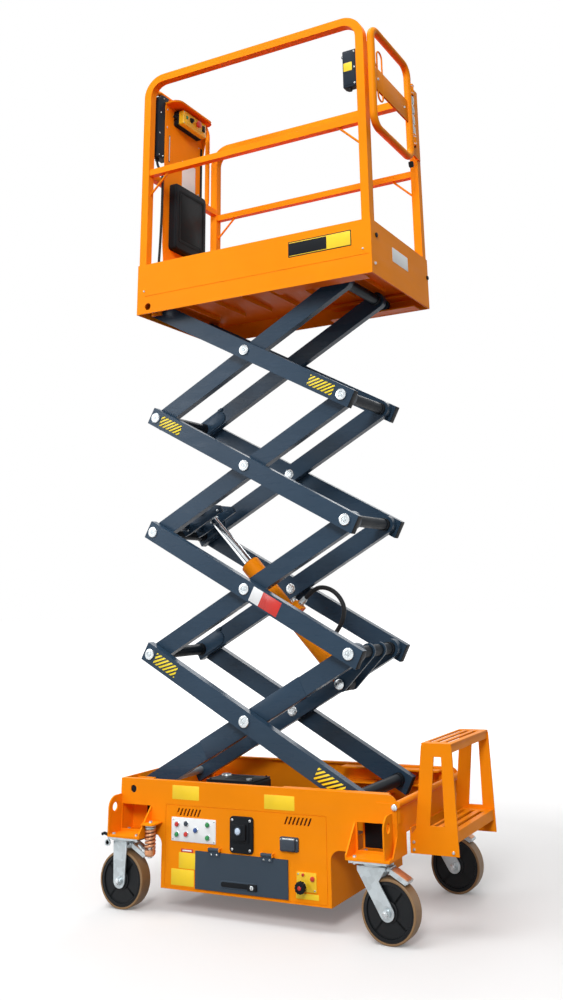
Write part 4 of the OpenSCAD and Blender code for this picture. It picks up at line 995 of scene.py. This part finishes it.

# black edging on the end loop
b = Build("edge_strips", "platform", [RUBBER], FLOOR, "dark")
cx, top = DECK_X0 + 16, 1089.0
arc = [(cx - 3, *on_circle(66, k, 36, (-206, top - 66))) for k in range(18, 8, -1)]
b.add(pipe([(cx - 3, -271.9, top - 150)] + arc + [(cx - 3, 150, top)], 4.2, 12))
b.done()

# ---- stage ---------------------------------------------------------
WHITE_LIGHT = (1, 1, 1, 1)
WARM, COOL = (1.0, 0.99, 0.975), (0.97, 0.98, 1.0)
FLOOR_HALF = 60.0             # metres from the middle to the floor's edge
LAMPS_AIM = (0, 0, 1.6)


def seen(shade):
    """1 where a camera, mirror or glass looks straight at it, and 0 for light on the object."""
    path = shade.node("ShaderNodeLightPath")
    out = shade.math("MAXIMUM", path.outputs["Is Camera Ray"], path.outputs["Is Glossy Ray"])
    return shade.math("MAXIMUM", out, path.outputs["Is Transmission Ray"])


world = bpy.data.worlds.new("studio")
scene.world = world
world.use_nodes = True


class WorldShade(Shade):
    """The node tree of the world."""

    def __init__(self, world):
        self.nt = world.node_tree
        self.nt.nodes.clear()
        self.out = self.node("ShaderNodeOutputWorld")


w = WorldShade(world)
sky = w.remap(w.axis_z("Generated"), -0.1, 0.9, 0.2, 0.55)
light = w.node("ShaderNodeBackground", {"Color": (*WARM, 1), "Strength": sky})
white = w.node("ShaderNodeBackground", {"Color": WHITE_LIGHT, "Strength": 1.0})
both = w.node("ShaderNodeMixShader", {0: seen(w), 1: light.outputs[0], 2: white.outputs[0]})
w.nt.links.new(both.outputs[0], w.out.inputs[0])

fs = Shade("studio_floor")
away = fs.node("ShaderNodeVectorMath", {0: fs.coords()}, operation="LENGTH").outputs["Value"]
# what the object receives from the floor is that of a grey one
shade = fs.mix(seen(fs), (0.2, 0.2, 0.2, 1), (0.62, 0.62, 0.625, 1))
glow = fs.math("MULTIPLY", seen(fs), fs.remap(away, 1.6, 6.0, 0.15, 1.0))
diffuse = fs.node("ShaderNodeBsdfDiffuse", {"Color": shade})
emission = fs.node("ShaderNodeEmission", {"Color": WHITE_LIGHT, "Strength": glow})
sum_up = fs.node("ShaderNodeAddShader", {0: diffuse.outputs[0], 1: emission.outputs[0]})
fs.nt.links.new(sum_up.outputs[0], fs.out.inputs[0])
me = bpy.data.meshes.new("floor")
corners = [(x * FLOOR_HALF, y * FLOOR_HALF, 0) for x, y in ((-1, -1), (1, -1), (1, 1), (-1, 1))]
me.from_pydata(corners, [], [(0, 1, 2, 3)])
me.materials.append(fs.mat)
floor = bpy.data.objects.new("floor", me)
scene.collection.objects.link(floor)


def lamp(name, at, size, power, colour=(1, 1, 1)):
    """A round soft light that looks at the middle of the object."""
    data = bpy.data.lights.new(name, "AREA")
    data.shape, data.size, data.energy, data.color = "DISK", size, power, colour
    ob = bpy.data.objects.new(name, data)
    ob.location = at
    ob.rotation_mode = "QUATERNION"
    ob.rotation_quaternion = (Vector(LAMPS_AIM) - Vector(at)).to_track_quat("-Z", "Y")
    scene.collection.objects.link(ob)


lamp("key", (4.0, -10.0, 8.0), 4.0, 900, WARM)
lamp("top", (-1.5, -1.5, 9.0), 6.0, 520)
lamp("side", (-7.0, -8.0, 4.0), 4.0, 220, COOL)
lamp("back", (-2.0, 9.0, 8.0), 4.0, 200)
